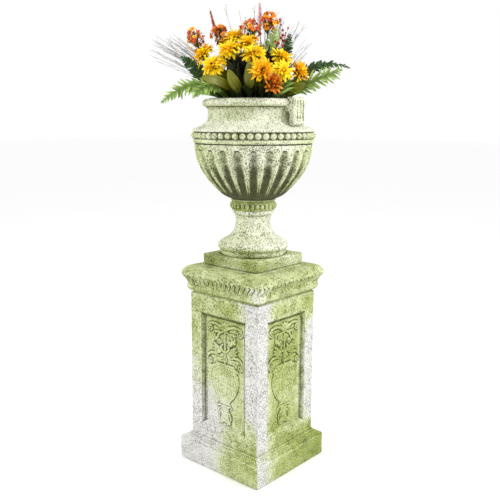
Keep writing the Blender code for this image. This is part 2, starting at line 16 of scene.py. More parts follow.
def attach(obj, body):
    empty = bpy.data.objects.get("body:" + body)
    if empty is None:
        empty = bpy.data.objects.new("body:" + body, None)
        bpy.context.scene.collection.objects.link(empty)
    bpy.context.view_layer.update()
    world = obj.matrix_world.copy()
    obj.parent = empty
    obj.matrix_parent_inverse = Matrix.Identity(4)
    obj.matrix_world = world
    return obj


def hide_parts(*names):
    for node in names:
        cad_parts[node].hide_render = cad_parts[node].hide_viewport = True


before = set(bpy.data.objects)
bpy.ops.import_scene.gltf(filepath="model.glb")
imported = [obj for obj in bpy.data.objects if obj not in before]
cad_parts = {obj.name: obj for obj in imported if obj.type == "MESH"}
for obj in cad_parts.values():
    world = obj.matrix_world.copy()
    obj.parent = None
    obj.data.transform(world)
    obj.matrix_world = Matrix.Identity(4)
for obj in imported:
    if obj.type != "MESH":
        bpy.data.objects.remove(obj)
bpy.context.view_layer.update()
scene = bpy.context.scene

# %% [markdown]
# ## Camera and light
#
# The set stands as a shop would show it: seen from a corner, at chest height, on a white floor in a
# bright room. Such light could come from a ring of lamps, but a white sky does nearly all of it with
# one number, and its shadows are faint. Two big soft lamps, one at each side and the right one
# brighter, bring out the mouldings. The view keeps plain colours, with no film curve.

# %% Camera and light
LENS = 49.77                    # millimetres, on a 36 mm sensor
CAMERA_AWAY = 2.5378            # from the axis of the urn, along the floor
CAMERA_HIGH = 1.2931
CAMERA_TURN = 0.7152            # round the axis, from the front face towards the right one
LOOK_DOWN = 0.1847
LOOK_ASIDE = 0.0045
ROLL = 0.0042
CLIP_END = 100.0                # nothing beyond this is drawn; the floor reaches 57 m


def add(name, data):
    """A new object of that data, in the scene."""
    made = bpy.data.objects.new(name, data)
    scene.collection.objects.link(made)
    return made


camera = add("camera", bpy.data.cameras.new("camera"))
camera.data.lens = LENS
camera.data.clip_end = CLIP_END
camera.matrix_world = (
    Matrix.Translation((CAMERA_AWAY * math.sin(CAMERA_TURN),
                        -CAMERA_AWAY * math.cos(CAMERA_TURN), CAMERA_HIGH))
    @ Matrix.Rotation(CAMERA_TURN + LOOK_ASIDE, 4, "Z")
    @ Matrix.Rotation(0.5 * math.pi - LOOK_DOWN, 4, "X") @ Matrix.Rotation(ROLL, 4, "Z"))
scene.camera = camera
scene.view_settings.view_transform = "Standard"

sky = bpy.data.worlds.new("white room")
sky.use_nodes = True
sky.node_tree.nodes["Background"].inputs["Color"].default_value = (1.0, 1.0, 1.0, 1.0)
sky.node_tree.nodes["Background"].inputs["Strength"].default_value = 1.0
scene.world = sky


def soft_lamp(name, place, target, size, watts):
    """A square lamp of that size at a place: its own Z axis points from the target to it."""
    lamp = add(name, bpy.data.lights.new(name, "AREA"))
    lamp.data.size = size
    lamp.data.energy = watts
    away = Matrix.Translation(place).to_translation() - Matrix.Translation(target).to_translation()
    lamp.location = place
    lamp.rotation_euler = away.to_track_quat("Z", "Y").to_euler()


MIDDLE = (0.0, 0.0, 1.0)        # both lamps look here
soft_lamp("window", (2.5, 0.9, 2.9), MIDDLE, 1.2, 78.0)
soft_lamp("far_window", (-2.1, -2.0, 2.5), MIDDLE, 1.6, 50.0)
print("camera at", [round(c, 3) for c in camera.matrix_world.translation])

# %% [markdown]
# ## Sums on shader values
#
# A pattern such as moss is a sum of noises and masks. Nodes could be made and wired one by one, but
# a sum reads better as a Python expression. A Signal wraps one output of a node; adding or
# multiplying two Signals adds the Math node that does it.

# %% Shader sums


class Signal:
    """One output of a shader node, for use in Python expressions."""

    def __init__(self, tree, socket):
        self.tree, self.socket = tree, socket

    def node(self, kind, settings=None, inputs=None, out=0):
        """Adds a node: its settings first, then its inputs. out picks the output."""
        made = self.tree.nodes.new(kind)
        for name, value in (settings or {}).items():
            setattr(made, name, value)
        for key, value in (inputs or {}).items():
            if isinstance(value, Signal):
                self.tree.links.new(value.socket, made.inputs[key])
            else:
                made.inputs[key].default_value = value
        return Signal(self.tree, made.outputs[out])

    def maths(self, operation, first, second):
        """The result of an operation on two numbers or Signals."""
        return self.node("ShaderNodeMath", {"operation": operation}, {0: first, 1: second})

    def __add__(self, other):
        return self.maths("ADD", self, other)

    def __sub__(self, other):
        return self.maths("SUBTRACT", self, other)

    def __rsub__(self, other):
        return self.maths("SUBTRACT", other, self)

    def __mul__(self, other):
        return self.maths("MULTIPLY", self, other)

    __radd__, __rmul__ = __add__, __mul__

    def most(self, other):
        """The larger of this value and another."""
        return self.maths("MAXIMUM", self, other)

    def sine(self):
        """The sine of this value, in radians."""
        return self.maths("SINE", self, 0.0)

    def step(self, low, high):
        """0 below low, 1 above high, and between them 3 t t - 2 t t t of the share t of the way."""
        return self.node("ShaderNodeMapRange", {"interpolation_type": "SMOOTHSTEP"},
                         {"Value": self, "From Min": low, "From Max": high})

    def between(self, first, second):
        """The first colour where this value is 0, the second where it is 1."""
        return self.node("ShaderNodeMix", {"data_type": "RGBA"},
                         {0: self, 6: colour(first), 7: colour(second)}, 2)

    def noise(self, scale, detail=3.0, rough=0.55):
        """Cloudy noise in space, this value being the place."""
        return self.node("ShaderNodeTexNoise", None,
                         {"Vector": self, "Scale": scale, "Detail": detail, "Roughness": rough}, 0)

    def cells(self, scale):
        """Distance to the nearest of many scattered points."""
        return self.node("ShaderNodeTexVoronoi", None, {"Vector": self, "Scale": scale}, 0)

    def named(self, attribute):
        """A value that the mesh itself carries."""
        return self.node("ShaderNodeAttribute", {"attribute_name": attribute}, None, 2)

    def axes(self):
        """The three coordinates of a place."""
        return [self.node("ShaderNodeSeparateXYZ", None, {0: self}, i) for i in range(3)]


print("sums on shader values:", [name for name in dir(Signal) if not name.startswith("_")])

# %% Colours, materials and bumps
CURVE_ABOVE, STRAIGHT = 0.04045, 12.92          # the sRGB curve: a straight foot, then a power


def colour(value):
    """Signals stay; three screen values from 0 to 255 become the light that they stand for."""
    if isinstance(value, Signal):
        return value
    share = np.array(value, float) / 255.0
    powered = ((share + 0.055) / 1.055) ** 2.4
    return (*np.where(share <= CURVE_ABOVE, share / STRAIGHT, powered), 1.0)


def new_material(name, roughness, metallic=0.0):
    """A material, its shader, and the place in the object's own coordinates."""
    made = bpy.data.materials.new(name)
    made.use_nodes = True
    shader = made.node_tree.nodes["Principled BSDF"]
    shader.inputs["Roughness"].default_value = roughness
    shader.inputs["Metallic"].default_value = metallic
    place = Signal(made.node_tree, None).node("ShaderNodeTexCoord", None, None, "Object")
    return made, shader, place


def wire(signal, shader, name):
    """Feeds a Signal into the shader's input of that name."""
    signal.tree.links.new(signal.socket, shader.inputs[name])


def bump(height, shader, distance, strength=1.0):
    """Lets a height tilt the surface's shading."""
    wire(height.node("ShaderNodeBump", None, {"Strength": strength, "Distance": distance,
                                              "Height": height}), shader, "Normal")


print("light of the screen value 128:", round(float(colour((128, 128, 128))[0]), 3))

# %% [markdown]
# ## Floor
#
# The floor is white and has no end, so it meets the white sky unseen. A curved sheet could join the
# two as in a studio, but one square as large as a field does the same with four points. It lies just
# under the part, because two faces at the same height would flicker.

# %% Floor
FLOOR_HALF, FLOOR_DROP = 40.0, 0.0005

floor_finish, floor_shader, floor_place = new_material("white_floor", 0.6)
wire(floor_place.noise(3.0).between((250, 250, 250), (254, 254, 254)), floor_shader, "Base Color")
floor_mesh = bpy.data.meshes.new("floor")
floor_corners = FLOOR_HALF * np.array([(-1, -1, 0), (1, -1, 0), (1, 1, 0), (-1, 1, 0)])
floor_mesh.from_pydata(floor_corners.tolist(), [], [(0, 1, 2, 3)])
floor_mesh.materials.append(floor_finish)
floor = add("floor", floor_mesh)
floor.location.z = -FLOOR_DROP
print("floor:", 2 * FLOOR_HALF, "m square, at height", round(floor.location.z, 4))

# %% [markdown]
# ## Weathered cast stone
#
# The stone is pale cream where rain washes it and grey where it is worn, and pale highlights are
# painted on the cap and the urn's shoulder. Yellow-green moss grows in patches, most of all in the
# hollows and on ledges, and dark specks of grit and pits cover it all. An image of stone could be
# wrapped round each piece, but it would show its seams, and a pattern worked out in space has none.
# The mesh carries a value from -1 on sharp edges to 1 in deep corners. Moss and dirt gather there
# and painted shade darkens the stone, and carved recesses add more painted shade to it. Another
# value is how far the place looks down: moss grows there, and algae, dirt and painted shade darken
# it. The rest is noise, from clouds as wide as a hand to grains of sand.

# %% Stone
PALE, CREAM, STAINED = (210, 209, 205), (222, 224, 200), (198, 205, 156)
MOSS_LIGHT, MOSS_DEEP = (154, 166, 88), (106, 124, 30)
# the first of these colours real dirt, and also painted shade in hollows, recesses and undersides
DIRT_AND_SHADE, PIT, FLECK = (62, 60, 36), (44, 42, 34), (248, 248, 236)
CLOUD_SCALE, PATCH_SCALE, CROWD_SCALE = 5.5, 28.0, 70.0         # noises, in waves to the metre
PIT_SCALE, GRIT_SCALE, GRAIN_SCALE = 170.0, 250.0, 480.0
BUMP_DEEP = 0.0022


def stone(name, moss=0.5, specks=0.5, washed_and_highlit=None, under_dirt_and_shade=0.3, pale=PALE):
    """Stone finish. moss and specks are amounts from 0 to 1. The amount for undersides is how dark it
    gets where it looks down, from algae and from painted shade. The rule for pale places is a function
    of the three coordinates. It gives how far each place is kept free of stain and moss, down to the
    pale colour: where rain washes it, and where a highlight is painted."""
    made, shader, place = new_material(name, 0.92)
    shader.inputs["Specular IOR Level"].default_value = 0.2
    hollow, damp = place.named("hollow"), place.named("damp")
    clouds, patches = place.noise(CLOUD_SCALE, 3.0), place.noise(PATCH_SCALE, 5.0, 0.65)
    grain, grit = place.noise(GRAIN_SCALE, 2.0, 0.7), place.noise(GRIT_SCALE, 2.0, 0.6)
    # pale places: stone washed by rain, and painted highlights on the cap and the urn's shoulder
    clean_and_highlit = washed_and_highlit(*place.axes()) if washed_and_highlit else 0.0
    growth = (clouds + patches * 0.7 + grit * 0.5 + grain * 0.4 + hollow * 0.12 + damp * 0.2
              - clean_and_highlit * 0.80 + (0.5 * moss - 1.25))
    stained = growth.step(-0.22, 0.30).between(pale, STAINED)
    mossy = growth.step(0.14, 0.62).between(stained, MOSS_LIGHT)
    mossy = growth.step(0.52, 0.95).between(mossy, MOSS_DEEP)
    # painted shade: hollows, carved recesses and places that look down take the dark colour, with real
    # dirt from patches and grit
    dirt_and_shade = (hollow + damp * damp * under_dirt_and_shade + patches * 0.7 + grit * 0.4 - 0.55).step(0.25, 1.15) * 0.9
    dirty_and_shaded = dirt_and_shade.between(mossy, DIRT_AND_SHADE)
    chosen = (place.noise(CROWD_SCALE, 2.0) + patches * 0.4).step(0.62, 0.80)
    pits = (1.0 - place.cells(PIT_SCALE).step(0.14, 0.36)) * chosen
    blots = (grit + grain * 0.25 + patches * 0.25).step(0.74, 0.88)
    speckled = (pits.most(blots) * (0.30 + 0.62 * specks)).between(dirty_and_shaded, PIT)
    light = (1.0 - (grit * 0.6 + grain * 0.6).step(0.42, 0.56)) * (1.0 - dirt_and_shade) * patches * 0.85
    wire(light.between(speckled, FLECK), shader, "Base Color")
    bump(grit * 0.6 + grain * 0.4 - pits * 0.9, shader, BUMP_DEEP, 0.85)
    return made


print("stone noises:", CLOUD_SCALE, "to", GRAIN_SCALE, "waves to the metre")

# %% Where rain has washed the stone, and where highlights are painted


def pedestal_washed(x, y, z):
    """Washed pale: the front corner of the trunk, the base's right face by that corner, the far
    end of the right face, and the lower left of the left face. Below nothing: the base's right
    face away from the corner, which is darker and greener than the rest."""
    on_right = (x + y).step(-0.004, 0.004)
    corner = (x - y).step(0.205, 0.318) * (z - 0.08).step(0.0, 0.26 - on_right * 0.22)
    low = (0.17 - z).step(0.0, 0.05)
    base_corner = on_right * (y * -1.0).step(0.06, 0.20) * low
    shaded = on_right * y.step(-0.10, 0.10) * low * 0.30
    far_right = y.step(0.06, 0.16) * on_right * (z - 0.10).step(0.0, 0.16) * (0.62 - z).step(0.0, 0.10)
    low_left = (x * -1.0).step(-0.16, 0.19) * (0.60 - z).step(0.0, 0.46)
    return corner.most(base_corner).most(far_right).most(low_left) - shaded


def cap_painted_highlights(x, y, z):
    """Painted highlights: the carved band is pale at the front corner, and the ovolo is pale at its far
    ends.
    """
    return ((x - y).step(0.30, 0.375) * (0.742 - z).step(0.0, 0.025) * 0.9).most(
        (x * -1.0).step(0.15, 0.215) * 0.35).most(y.step(0.16, 0.21) * 0.25)


def foot_washed(x, y, z):
    """The socle and the right face of the foot block are paler than its left face, and that is
    barest in its middle."""
    middle = (1.0 - (x * x).step(0.001, 0.007)) * (0.809 - z).step(-0.001, 0.001) * 0.30
    return middle.most(z.step(0.806, 0.816) * 0.45 + z.step(0.834, 0.858) * 0.42).most(
        (x + y * 0.4).step(0.09, 0.15) * 0.38)


def bowl_washed(x, y, z):
    """The bowl is greyer and barer where it faces the front."""
    return (x - y).step(0.10, 0.32) * 0.40


def upper_painted_highlight(x, y, z):
    """A painted highlight makes the shoulder the palest part of the urn; all above it is a little paler
    too.
    """
    return z.step(1.255, 1.28) * 0.15 + z.step(1.246, 1.258) * (1.302 - z).step(0.0, 0.02) * 0.40


WASHES_AND_HIGHLIGHTS = (pedestal_washed, cap_painted_highlights, foot_washed, bowl_washed, upper_painted_highlight)
print("rules for washed places:", [rule.__name__ for rule in WASHES_AND_HIGHLIGHTS])

# %% The stones
pedestal_stone = stone("pedestal_stone", 0.76, 0.55, pedestal_washed)
panel_stone = stone("panel_stone", 0.92, 0.25, pedestal_washed)
cap_stone = stone("cap_stone", 0.74, 0.75, cap_painted_highlights, 0.3, CREAM)
foot_stone = stone("foot_stone", 1.20, 0.95, foot_washed, 0.0, CREAM)
collar_stone = stone("collar_stone", 0.84, 0.55, None, 0.4, CREAM)
# the bowl's underside is painted darkest, with algae and painted shade
bowl_stone = stone("bowl_stone", 0.50, 1.0, bowl_washed, 2.6, CREAM)
upper_stone = stone("upper_bowl_stone", 0.30, 0.60, upper_painted_highlight, 0.5, CREAM)
bead_stone = stone("bead_stone", 0.20, 0.40, None, 0.8, CREAM)
print("stone finishes:", [m.name for m in bpy.data.materials if "stone" in m.name])

# %% [markdown]
# ## Skins over lattices of points
#
# Every piece here is a skin over rings of points: rings up a moulding, rings along a stem, rings
# along a petal. They could be pulled out of a cube by hand, but then a change of size means starting
# again. Here the points are worked out as whole arrays. One function joins neighbouring rings with
# squares and closes both ends, so each skin is a closed solid with its faces outward.

# %% Lattices


class Shape:
    """Points, faces and the values that the points carry."""

    def __init__(self, points, faces, values):
        self.points, self.faces, self.values = points, faces, values


def lattice(points, ends="flat", **values):
    """A closed skin over points of the form (copies, rings, points round, 3).

    Rings run anticlockwise as seen from the way that they are stacked. Squares join each ring to
    the next and the last column to the first. Ends are flat faces, or joined to each other."""
    points = points if points.ndim == 4 else points[None]
    number = np.arange(points[..., 0].size).reshape(points.shape[:3])
    beside = np.roll(number, -1, axis=2)
    if ends == "joined":
        squares = np.stack([number, beside, np.roll(beside, -1, 1), np.roll(number, -1, 1)], -1)
        faces = [squares.reshape(-1, 4)]
    else:
        squares = np.stack([number[:, :-1], beside[:, :-1], beside[:, 1:], number[:, 1:]], -1)
        faces = [squares.reshape(-1, 4), number[:, 0, ::-1], number[:, -1]]
    spread = {name: np.broadcast_to(value, points.shape[:3]).ravel()
              for name, value in values.items()}
    return Shape(points.reshape(-1, 3), faces, spread)


print("squares between 3 rings of 4 points:", len(lattice(np.zeros((3, 4, 3))).faces[0]))

# %% From shapes to a piece


def make_piece(name, parts, body, stands_for=(), sharp=38.0):
    """One piece of the model, from pairs of a shape and its material, riding on a body. Faces that
    meet at more than sharp degrees keep a crisp edge; the rest are shaded smooth."""
    mesh = bpy.data.meshes.new(name)
    points = np.concatenate([shape.points for shape, _ in parts])
    corners, sizes, finishes, start = [], [], [], 0
    for number, (shape, finish) in enumerate(parts):
        mesh.materials.append(finish)
        for block in shape.faces:
            corners.append((block + start).ravel())
            sizes.append(np.full(len(block), block.shape[1]))
            finishes.append(np.full(len(block), number))
        start += len(shape.points)
    corners, sizes, finishes = map(np.concatenate, (corners, sizes, finishes))
    mesh.vertices.add(len(points))
    mesh.vertices.foreach_set("co", points.ravel().astype(np.float32))
    mesh.loops.add(len(corners))
    mesh.loops.foreach_set("vertex_index", corners.astype(np.int32))
    mesh.polygons.add(len(sizes))
    mesh.polygons.foreach_set("loop_start", (np.cumsum(sizes) - sizes).astype(np.int32))
    mesh.polygons.foreach_set("material_index", finishes.astype(np.int32))
    mesh.update(calc_edges=True)
    mesh.polygons.foreach_set("use_smooth", np.ones(len(sizes), bool))
    mesh.set_sharp_from_angle(angle=math.radians(sharp))
    for value in sorted({key for shape, _ in parts for key in shape.values}):
        carried = [shape.values.get(value, np.zeros(len(shape.points))) for shape, _ in parts]
        layer = mesh.attributes.new(value, "FLOAT", "POINT")
        layer.data.foreach_set("value", np.concatenate(carried).astype(np.float32))
    made = add(name, mesh)
    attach(made, body)
    if stands_for:
        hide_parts(*stands_for)
    print(f"{name}: {len(points)} points, {(sizes - 2).sum()} triangles")


# %% [markdown]
# ## Lines, wear and hollows
#
# A moulding's section is a few strands of smooth line with corners between them. Cast stone has no
# sharp corner left after years outdoors. A Bevel modifier would round every edge alike, which looks
# machined, so instead the section is softened, and then the whole skin loses a little stone,
# unevenly and most at its edges. The depth of each point below its surroundings is measured on the
# skin and kept as the hollow value, where the finish gathers moss and dirt and paints shade.

# %% Lines
FINE = 0.0022                   # spacing of points on a visible section
COARSE = 0.012                  # and on a hidden one


def curve(points, step=FINE):
    """Even steps along a smooth line through a few points: between two of them a cubic, whose
    slope at each is the slope between its neighbours."""
    points = np.array(points, float)
    reach = np.concatenate([[0.0], np.cumsum(np.linalg.norm(np.diff(points, axis=0), axis=1))])
    slope = np.gradient(points, reach, axis=0)
    at = np.linspace(0.0, reach[-1], max(2, int(math.ceil(reach[-1] / step)) + 1))
    last = np.clip(np.searchsorted(reach, at, side="right") - 1, 0, len(points) - 2)
    span = (reach[last + 1] - reach[last])[:, None]
    t = (at - reach[last])[:, None] / span
    return ((2 * t ** 3 - 3 * t ** 2 + 1) * points[last]
            + (t ** 3 - 2 * t ** 2 + t) * span * slope[last]
            + (3 * t ** 2 - 2 * t ** 3) * points[last + 1]
            + (t ** 3 - t ** 2) * span * slope[last + 1])


def section(*strands, step=FINE):
    """Strands of smooth line end to end; each starts where the one before it ended."""
    line = curve(strands[0], step)
    for strand in strands[1:]:
        line = np.concatenate([line, curve([line[-1], *strand], step)[1:]])
    return line


def soften(line, times=2):
    """Rounds corners: each inner point moves half way to the middle of its neighbours."""
    for _ in range(times):
        line = np.concatenate([line[:1], 0.25 * line[:-2] + 0.5 * line[1:-1] + 0.25 * line[2:],
                               line[-1:]])
    return line


print("points on a corner of two 10 mm strands:", len(section([(0.0, 0.0), (0.01, 0.0)], [(0.01, 0.01)])))

# %% Wear and hollows
WEAR = 0.0007                   # stone lost to weather
HOLLOW_FULL = 0.0006            # depth that counts as a deep corner


def unit(vectors):
    """Each vector divided by its own length."""
    return vectors / np.maximum(np.linalg.norm(vectors, axis=-1, keepdims=True), 1e-12)


def outward(points, joined=False):
    """Directions out of a skin: the way round crossed with the way up."""
    round_way = np.roll(points, -1, 1) - np.roll(points, 1, 1)
    up_way = np.gradient(points, axis=0)
    if joined:
        up_way = np.roll(points, -1, 0) - np.roll(points, 1, 0)
    return unit(np.cross(round_way, up_way))


def ripple(points, length, seed):
    """Smooth random waves in space, mostly within -1 and 1: sines in random directions."""
    draw = np.random.default_rng(seed)
    ways = unit(draw.normal(size=(12, 3))) * (2 * math.pi / length) * draw.uniform(0.5, 1.8, (12, 1))
    return np.sin(points @ ways.T + draw.uniform(0, 2 * math.pi, 12)).mean(-1) * 2.0


def smooth(value, low, high):
    """0 below low, 1 above high, and between them 3 t t - 2 t t t of the share t of the way."""
    t = np.clip((value - low) / (high - low), 0.0, 1.0)
    return t * t * (3.0 - 2.0 * t)


def sunk(points, reach):
    """How far each point lies below its surroundings: the way from it to their average, along the
    outward direction. Each pass of averaging takes in one more ring and column."""
    soft = points
    for _ in range(reach):
        soft = 0.25 * np.roll(soft, 1, 1) + 0.5 * soft + 0.25 * np.roll(soft, -1, 1)
        inner = 0.25 * soft[:-2] + 0.5 * soft[1:-1] + 0.25 * soft[2:]
        soft = np.concatenate([soft[:1], inner, soft[-1:]])
    return ((soft - points) * outward(points)).sum(-1)


def weathered(points, ends="flat", wear=WEAR, recess_shade=0.0):
    """A skin of worn stone. Each point moves inward by wear times a loss: slow and quick waves
    everywhere, and more waves where it lies above its surroundings. The skin carries its hollow
    value, with painted shade for recesses added to it. It also carries how far it looks down, where
    the finish grows moss and paints shade."""
    depth = sunk(points, 5)
    edge = np.clip(-depth / HOLLOW_FULL, 0.0, 1.0)
    loss = 0.5 + 0.5 * ripple(points, 0.09, 1) + 0.35 * ripple(points, 0.022, 2)
    loss = loss + edge * np.clip(ripple(points, 0.030, 3) + 0.5 * ripple(points, 0.010, 4), 0.0, 2.0)
    way = outward(points, ends == "joined")
    points = points - way * (wear * np.clip(loss, 0, 3))[..., None]
    return lattice(points, ends, hollow=np.clip(depth / HOLLOW_FULL + recess_shade, -1.0, 1.0),
                   damp=np.clip(-way[..., 2], 0.0, 1.0))


print(f"weather takes at most {3000 * WEAR:.1f} mm of stone")


# %% [markdown]
# ## Square mouldings
#
# Base, trunk, cap and foot block are square with rounded corners. A section could be swept round a
# square path, but the sweep's corners would have no wear or carving of their own. Here each column
# of points has a fixed share of the way to the corner and a fixed outward direction, so a ring of
# any half width is one product and one sum, and a section in half width and height gives the whole
# moulding.

# %% Square mouldings


def square_columns(shares, bend=5):
    """Shares of the way to the corner, and outward directions, all the way round.

    shares runs from -1 to 1 along one side; bend more points turn each corner."""
    turn = np.linspace(0.0, 0.5 * math.pi, bend + 2)[1:-1]
    across = np.concatenate([shares, np.ones(bend)])
    place = np.stack([across, -np.ones_like(across)], -1)
    way = np.stack([np.concatenate([0.0 * shares, np.sin(turn)]),
                    np.concatenate([-np.ones_like(shares), -np.cos(turn)])], -1)
    places, ways = [place], [way]
    for _ in range(3):
        places.append(np.stack([-places[-1][:, 1], places[-1][:, 0]], -1))
        ways.append(np.stack([-ways[-1][:, 1], ways[-1][:, 0]], -1))
    return np.concatenate(places), np.concatenate(ways)


def square_rings(line, corner, columns):
    """Rings of a square moulding from its section, as half width and height: half width less the
    corner's radius, times the column's place, plus that radius times its outward direction."""
    place, way = columns
    inner = np.maximum(line[:, 0] - corner, 0.0)
    bend = np.minimum(corner, line[:, 0])
    flat = inner[:, None, None] * place + bend[:, None, None] * way
    height = np.broadcast_to(line[:, 1, None, None], (*flat.shape[:2], 1))
    return np.concatenate([flat, height], -1)


print("columns round a side of 3 points:", len(square_columns(np.linspace(-1.0, 1.0, 3))[0]))

# %% [markdown]
# ## Base
#
# The base is a plain block with a sloped top that sheds the rain. A cube with a Bevel could be one,
# but its slope ends in a small upstand under the trunk, which is easier to draw as a section. The
# first strand is the underside, out of sight, so its points are far apart.

# %% Base
BASE_HALF, BASE_WALL, BASE_TOP, BASE_CORNER = 0.200, 0.0855, 0.1035, 0.012
DIE_HALF, DIE_BOTTOM, DIE_TOP = 0.1664, 0.1038, 0.6621
even = square_columns(np.linspace(-1.0, 1.0, 104))
base_line = section([(0.05, 0.0), (BASE_HALF - 0.008, 0.0)], step=COARSE)
base_line = np.concatenate([base_line, section(
    [(BASE_HALF - 0.004, 0.0), (BASE_HALF, 0.004)], [(BASE_HALF, BASE_WALL - 0.003)],
    [(BASE_HALF - 0.002, BASE_WALL)], [(BASE_HALF - 0.0055, BASE_WALL)],
    [(DIE_HALF + 0.0085, BASE_TOP - 0.004)], [(DIE_HALF + 0.0070, BASE_TOP)],
    [(DIE_HALF - 0.01, BASE_TOP)])])
base_rings = square_rings(soften(base_line, 1), BASE_CORNER, even)
make_piece("pedestal_base", [(weathered(base_rings), pedestal_stone)],
           "pedestal", ["pedestal_base"])

# %% [markdown]
# ## Trunk with its recesses
#
# The trunk was cast with a sunk field in each face, framed by an ogee. Cutting the fields with
# Booleans leaves long thin faces, so the rings of points simply step inward: a point's depth depends
# only on its distance from the field's edge. Columns and rings crowd together along the frame.

# %% Trunk
FIELD_HALF, FIELD_LOW, FIELD_HIGH = 0.1096, 0.1566, 0.5943
REVEAL, REVEAL_DEEP, SLAB = 0.0165, 0.013, 0.012
GAP = 0.0003                    # air all round a slab
DIE_CORNER, DIE_PITCH, DIE_INSIDE = 0.006, 0.004, 0.121
STOPS = np.array([0.0, 0.04, 0.10, 0.20, 0.30, 0.40, 0.50, 0.60, 0.70, 0.80, 0.86, 0.90, 0.96])


def reveal_depth(inset):
    """Depth of the frame at a distance in from the field's edge: a nick, an ogee, a nick, and at
    its end the seat of the panel."""
    t = inset / REVEAL
    depth = 0.16 * (t > 0.02) + 0.66 * smooth(t, 0.04, 0.84) + 0.18 * (t > 0.88)
    return np.where(t >= 1.0, REVEAL_DEEP + SLAB + GAP, REVEAL_DEEP * depth * (t > 0))


def framed(low, field_low, field_high, high, spacing):
    """Stations from low to high that crowd where the field's frame is."""
    frame_steps = np.concatenate([STOPS * REVEAL, [REVEAL - 0.0004, REVEAL, REVEAL + 0.0004]])
    ends = [np.arange(low, field_low - 0.4 * spacing, spacing), field_low + frame_steps]
    middle = np.linspace(field_low + REVEAL + 0.003, field_high - REVEAL - 0.003, 60)
    tail = np.linspace(field_high, high, int((high - field_high) / spacing) + 1)[1:]
    return np.concatenate([*ends, middle, field_high - frame_steps[::-1], tail])


die_flat = DIE_HALF - DIE_CORNER
die_side = framed(-die_flat, -FIELD_HALF, FIELD_HALF, die_flat, DIE_PITCH)
die_columns = square_columns(die_side / die_flat, 5)
die_heights = framed(DIE_BOTTOM, FIELD_LOW, FIELD_HIGH, DIE_TOP, DIE_PITCH)
outer = np.stack([np.full_like(die_heights, DIE_HALF), die_heights], -1)
hollow_line = section([(DIE_HALF - DIE_PITCH, DIE_TOP), (DIE_INSIDE, DIE_TOP)],
                      [(DIE_INSIDE, DIE_BOTTOM)], [(DIE_HALF - DIE_PITCH, DIE_BOTTOM)], step=0.02)
die_rings = square_rings(np.concatenate([outer, hollow_line]), DIE_CORNER, die_columns)
along_face = die_columns[0][:, 0] * np.abs(die_columns[1][:, 1])
along_face = along_face + die_columns[0][:, 1] * np.abs(die_columns[1][:, 0])
from_side = FIELD_HALF - np.abs(along_face) * die_flat
on_flat = np.abs(die_columns[1]).max(1) > 0.9999
from_end = np.minimum(die_rings[..., 2] - FIELD_LOW, FIELD_HIGH - die_rings[..., 2])
inset = np.minimum(from_side, from_end)
sink = np.where(on_flat & (np.arange(len(die_rings)) < len(outer))[:, None],
                reveal_depth(np.maximum(inset, 0.0)), 0.0)
die_rings[..., :2] -= sink[..., None] * die_columns[1]

# painted shade fills the frame, darkest along two lines, and none on its lower edge
in_frame = np.clip(inset / REVEAL, 0.0, 1.0)
recess_shade = np.where(sink > 0, 0.55 * np.abs(np.sin(2 * math.pi * in_frame)) ** 0.5 + 0.45, 0.0)
recess_shade = recess_shade * smooth(die_rings[..., 2] - FIELD_LOW - from_side, -0.01, 0.01)
make_piece("pedestal_die", [(weathered(die_rings, "joined", 0.0005, recess_shade), pedestal_stone)],
           "pedestal", ["pedestal_die"], 50.0)

# %% [markdown]
# ## Arabesque panels
#
# Each field holds a cast slab with a symmetrical arabesque: a palmette and scrolls at the top, a
# knot of leaves, then a vase on a foot with curled ends. It could be sculpted by hand, or pressed in
# from a grey image, which blurs every edge. A carver makes it with strokes of a gouge, and so does
# this: every scroll, leaf and rib is a path with a width, and its height falls off as a round hump
# with the distance to that path. The highest hump at each point wins.

# %% Relief strokes
RELIEF = 0.006


def path_through(points, count=40):
    """A smooth line through a few points, at count places along it."""
    line = curve(points, 0.0015)
    return line[np.linspace(0, len(line) - 1, count).astype(int)]


def stroke(place, path, width, rise, pinch=0.5):
    """Height of a hump along a path: rise times the root of 1 less the square of the distance
    over the width. The width is least at both ends, by the share pinch."""
    along = np.linspace(0.0, 1.0, len(path))
    widths = width * (1.0 - pinch * np.abs(2 * along - 1) ** 2.5)
    gaps = np.linalg.norm(place[..., None, :] - path, axis=-1) / widths
    return rise * np.sqrt(np.clip(1.0 - gaps.min(-1) ** 2, 0.0, 1.0))


def scroll(centre, radius, start, turns):
    """A volute: an arc whose radius shrinks to a fifth as it turns."""
    t = np.linspace(0.0, 1.0, 46)
    angle = np.radians(start) + 2 * math.pi * turns * t
    size = radius * (1.0 - 0.80 * t)
    return np.stack([centre[0] + size * np.cos(angle), centre[1] + size * np.sin(angle)], -1)


def leaf(place, root, tip, width, rise):
    """A pointed leaf, widest at its middle, with a groove along its rib."""
    path = np.linspace(root, tip, 24)
    blade = stroke(place, path, width, rise, 0.92)
    rib = stroke(place, path, 0.22 * width, 0.45 * rise, 0.6)
    return np.maximum(blade - rib, 0.0)


def swelling(place, outline, rise, ribs=0):
    """A turned body seen from the side, between heights of an outline of half widths: nearly flat
    across with a steep edge, and with upright ribs."""
    outline = np.array(outline, float)
    half = np.interp(place[..., 1], outline[::-1, 1], outline[::-1, 0], left=1e-4, right=1e-4)
    share = np.clip(np.abs(place[..., 0]) / half, 0.0, 1.0)
    flutes = 1.0 - 0.16 * (np.cos(share * math.pi * ribs) > 0.55) if ribs else 1.0
    return rise * (1.0 - share ** 9) ** 0.3 * (1.0 - 0.25 * share) * flutes * (half > 1e-3)


print("relief of", 1000 * RELIEF, "mm; a round scroll has", len(scroll((0, 0), 1, 0, 1)), "points")

# %% The arabesque


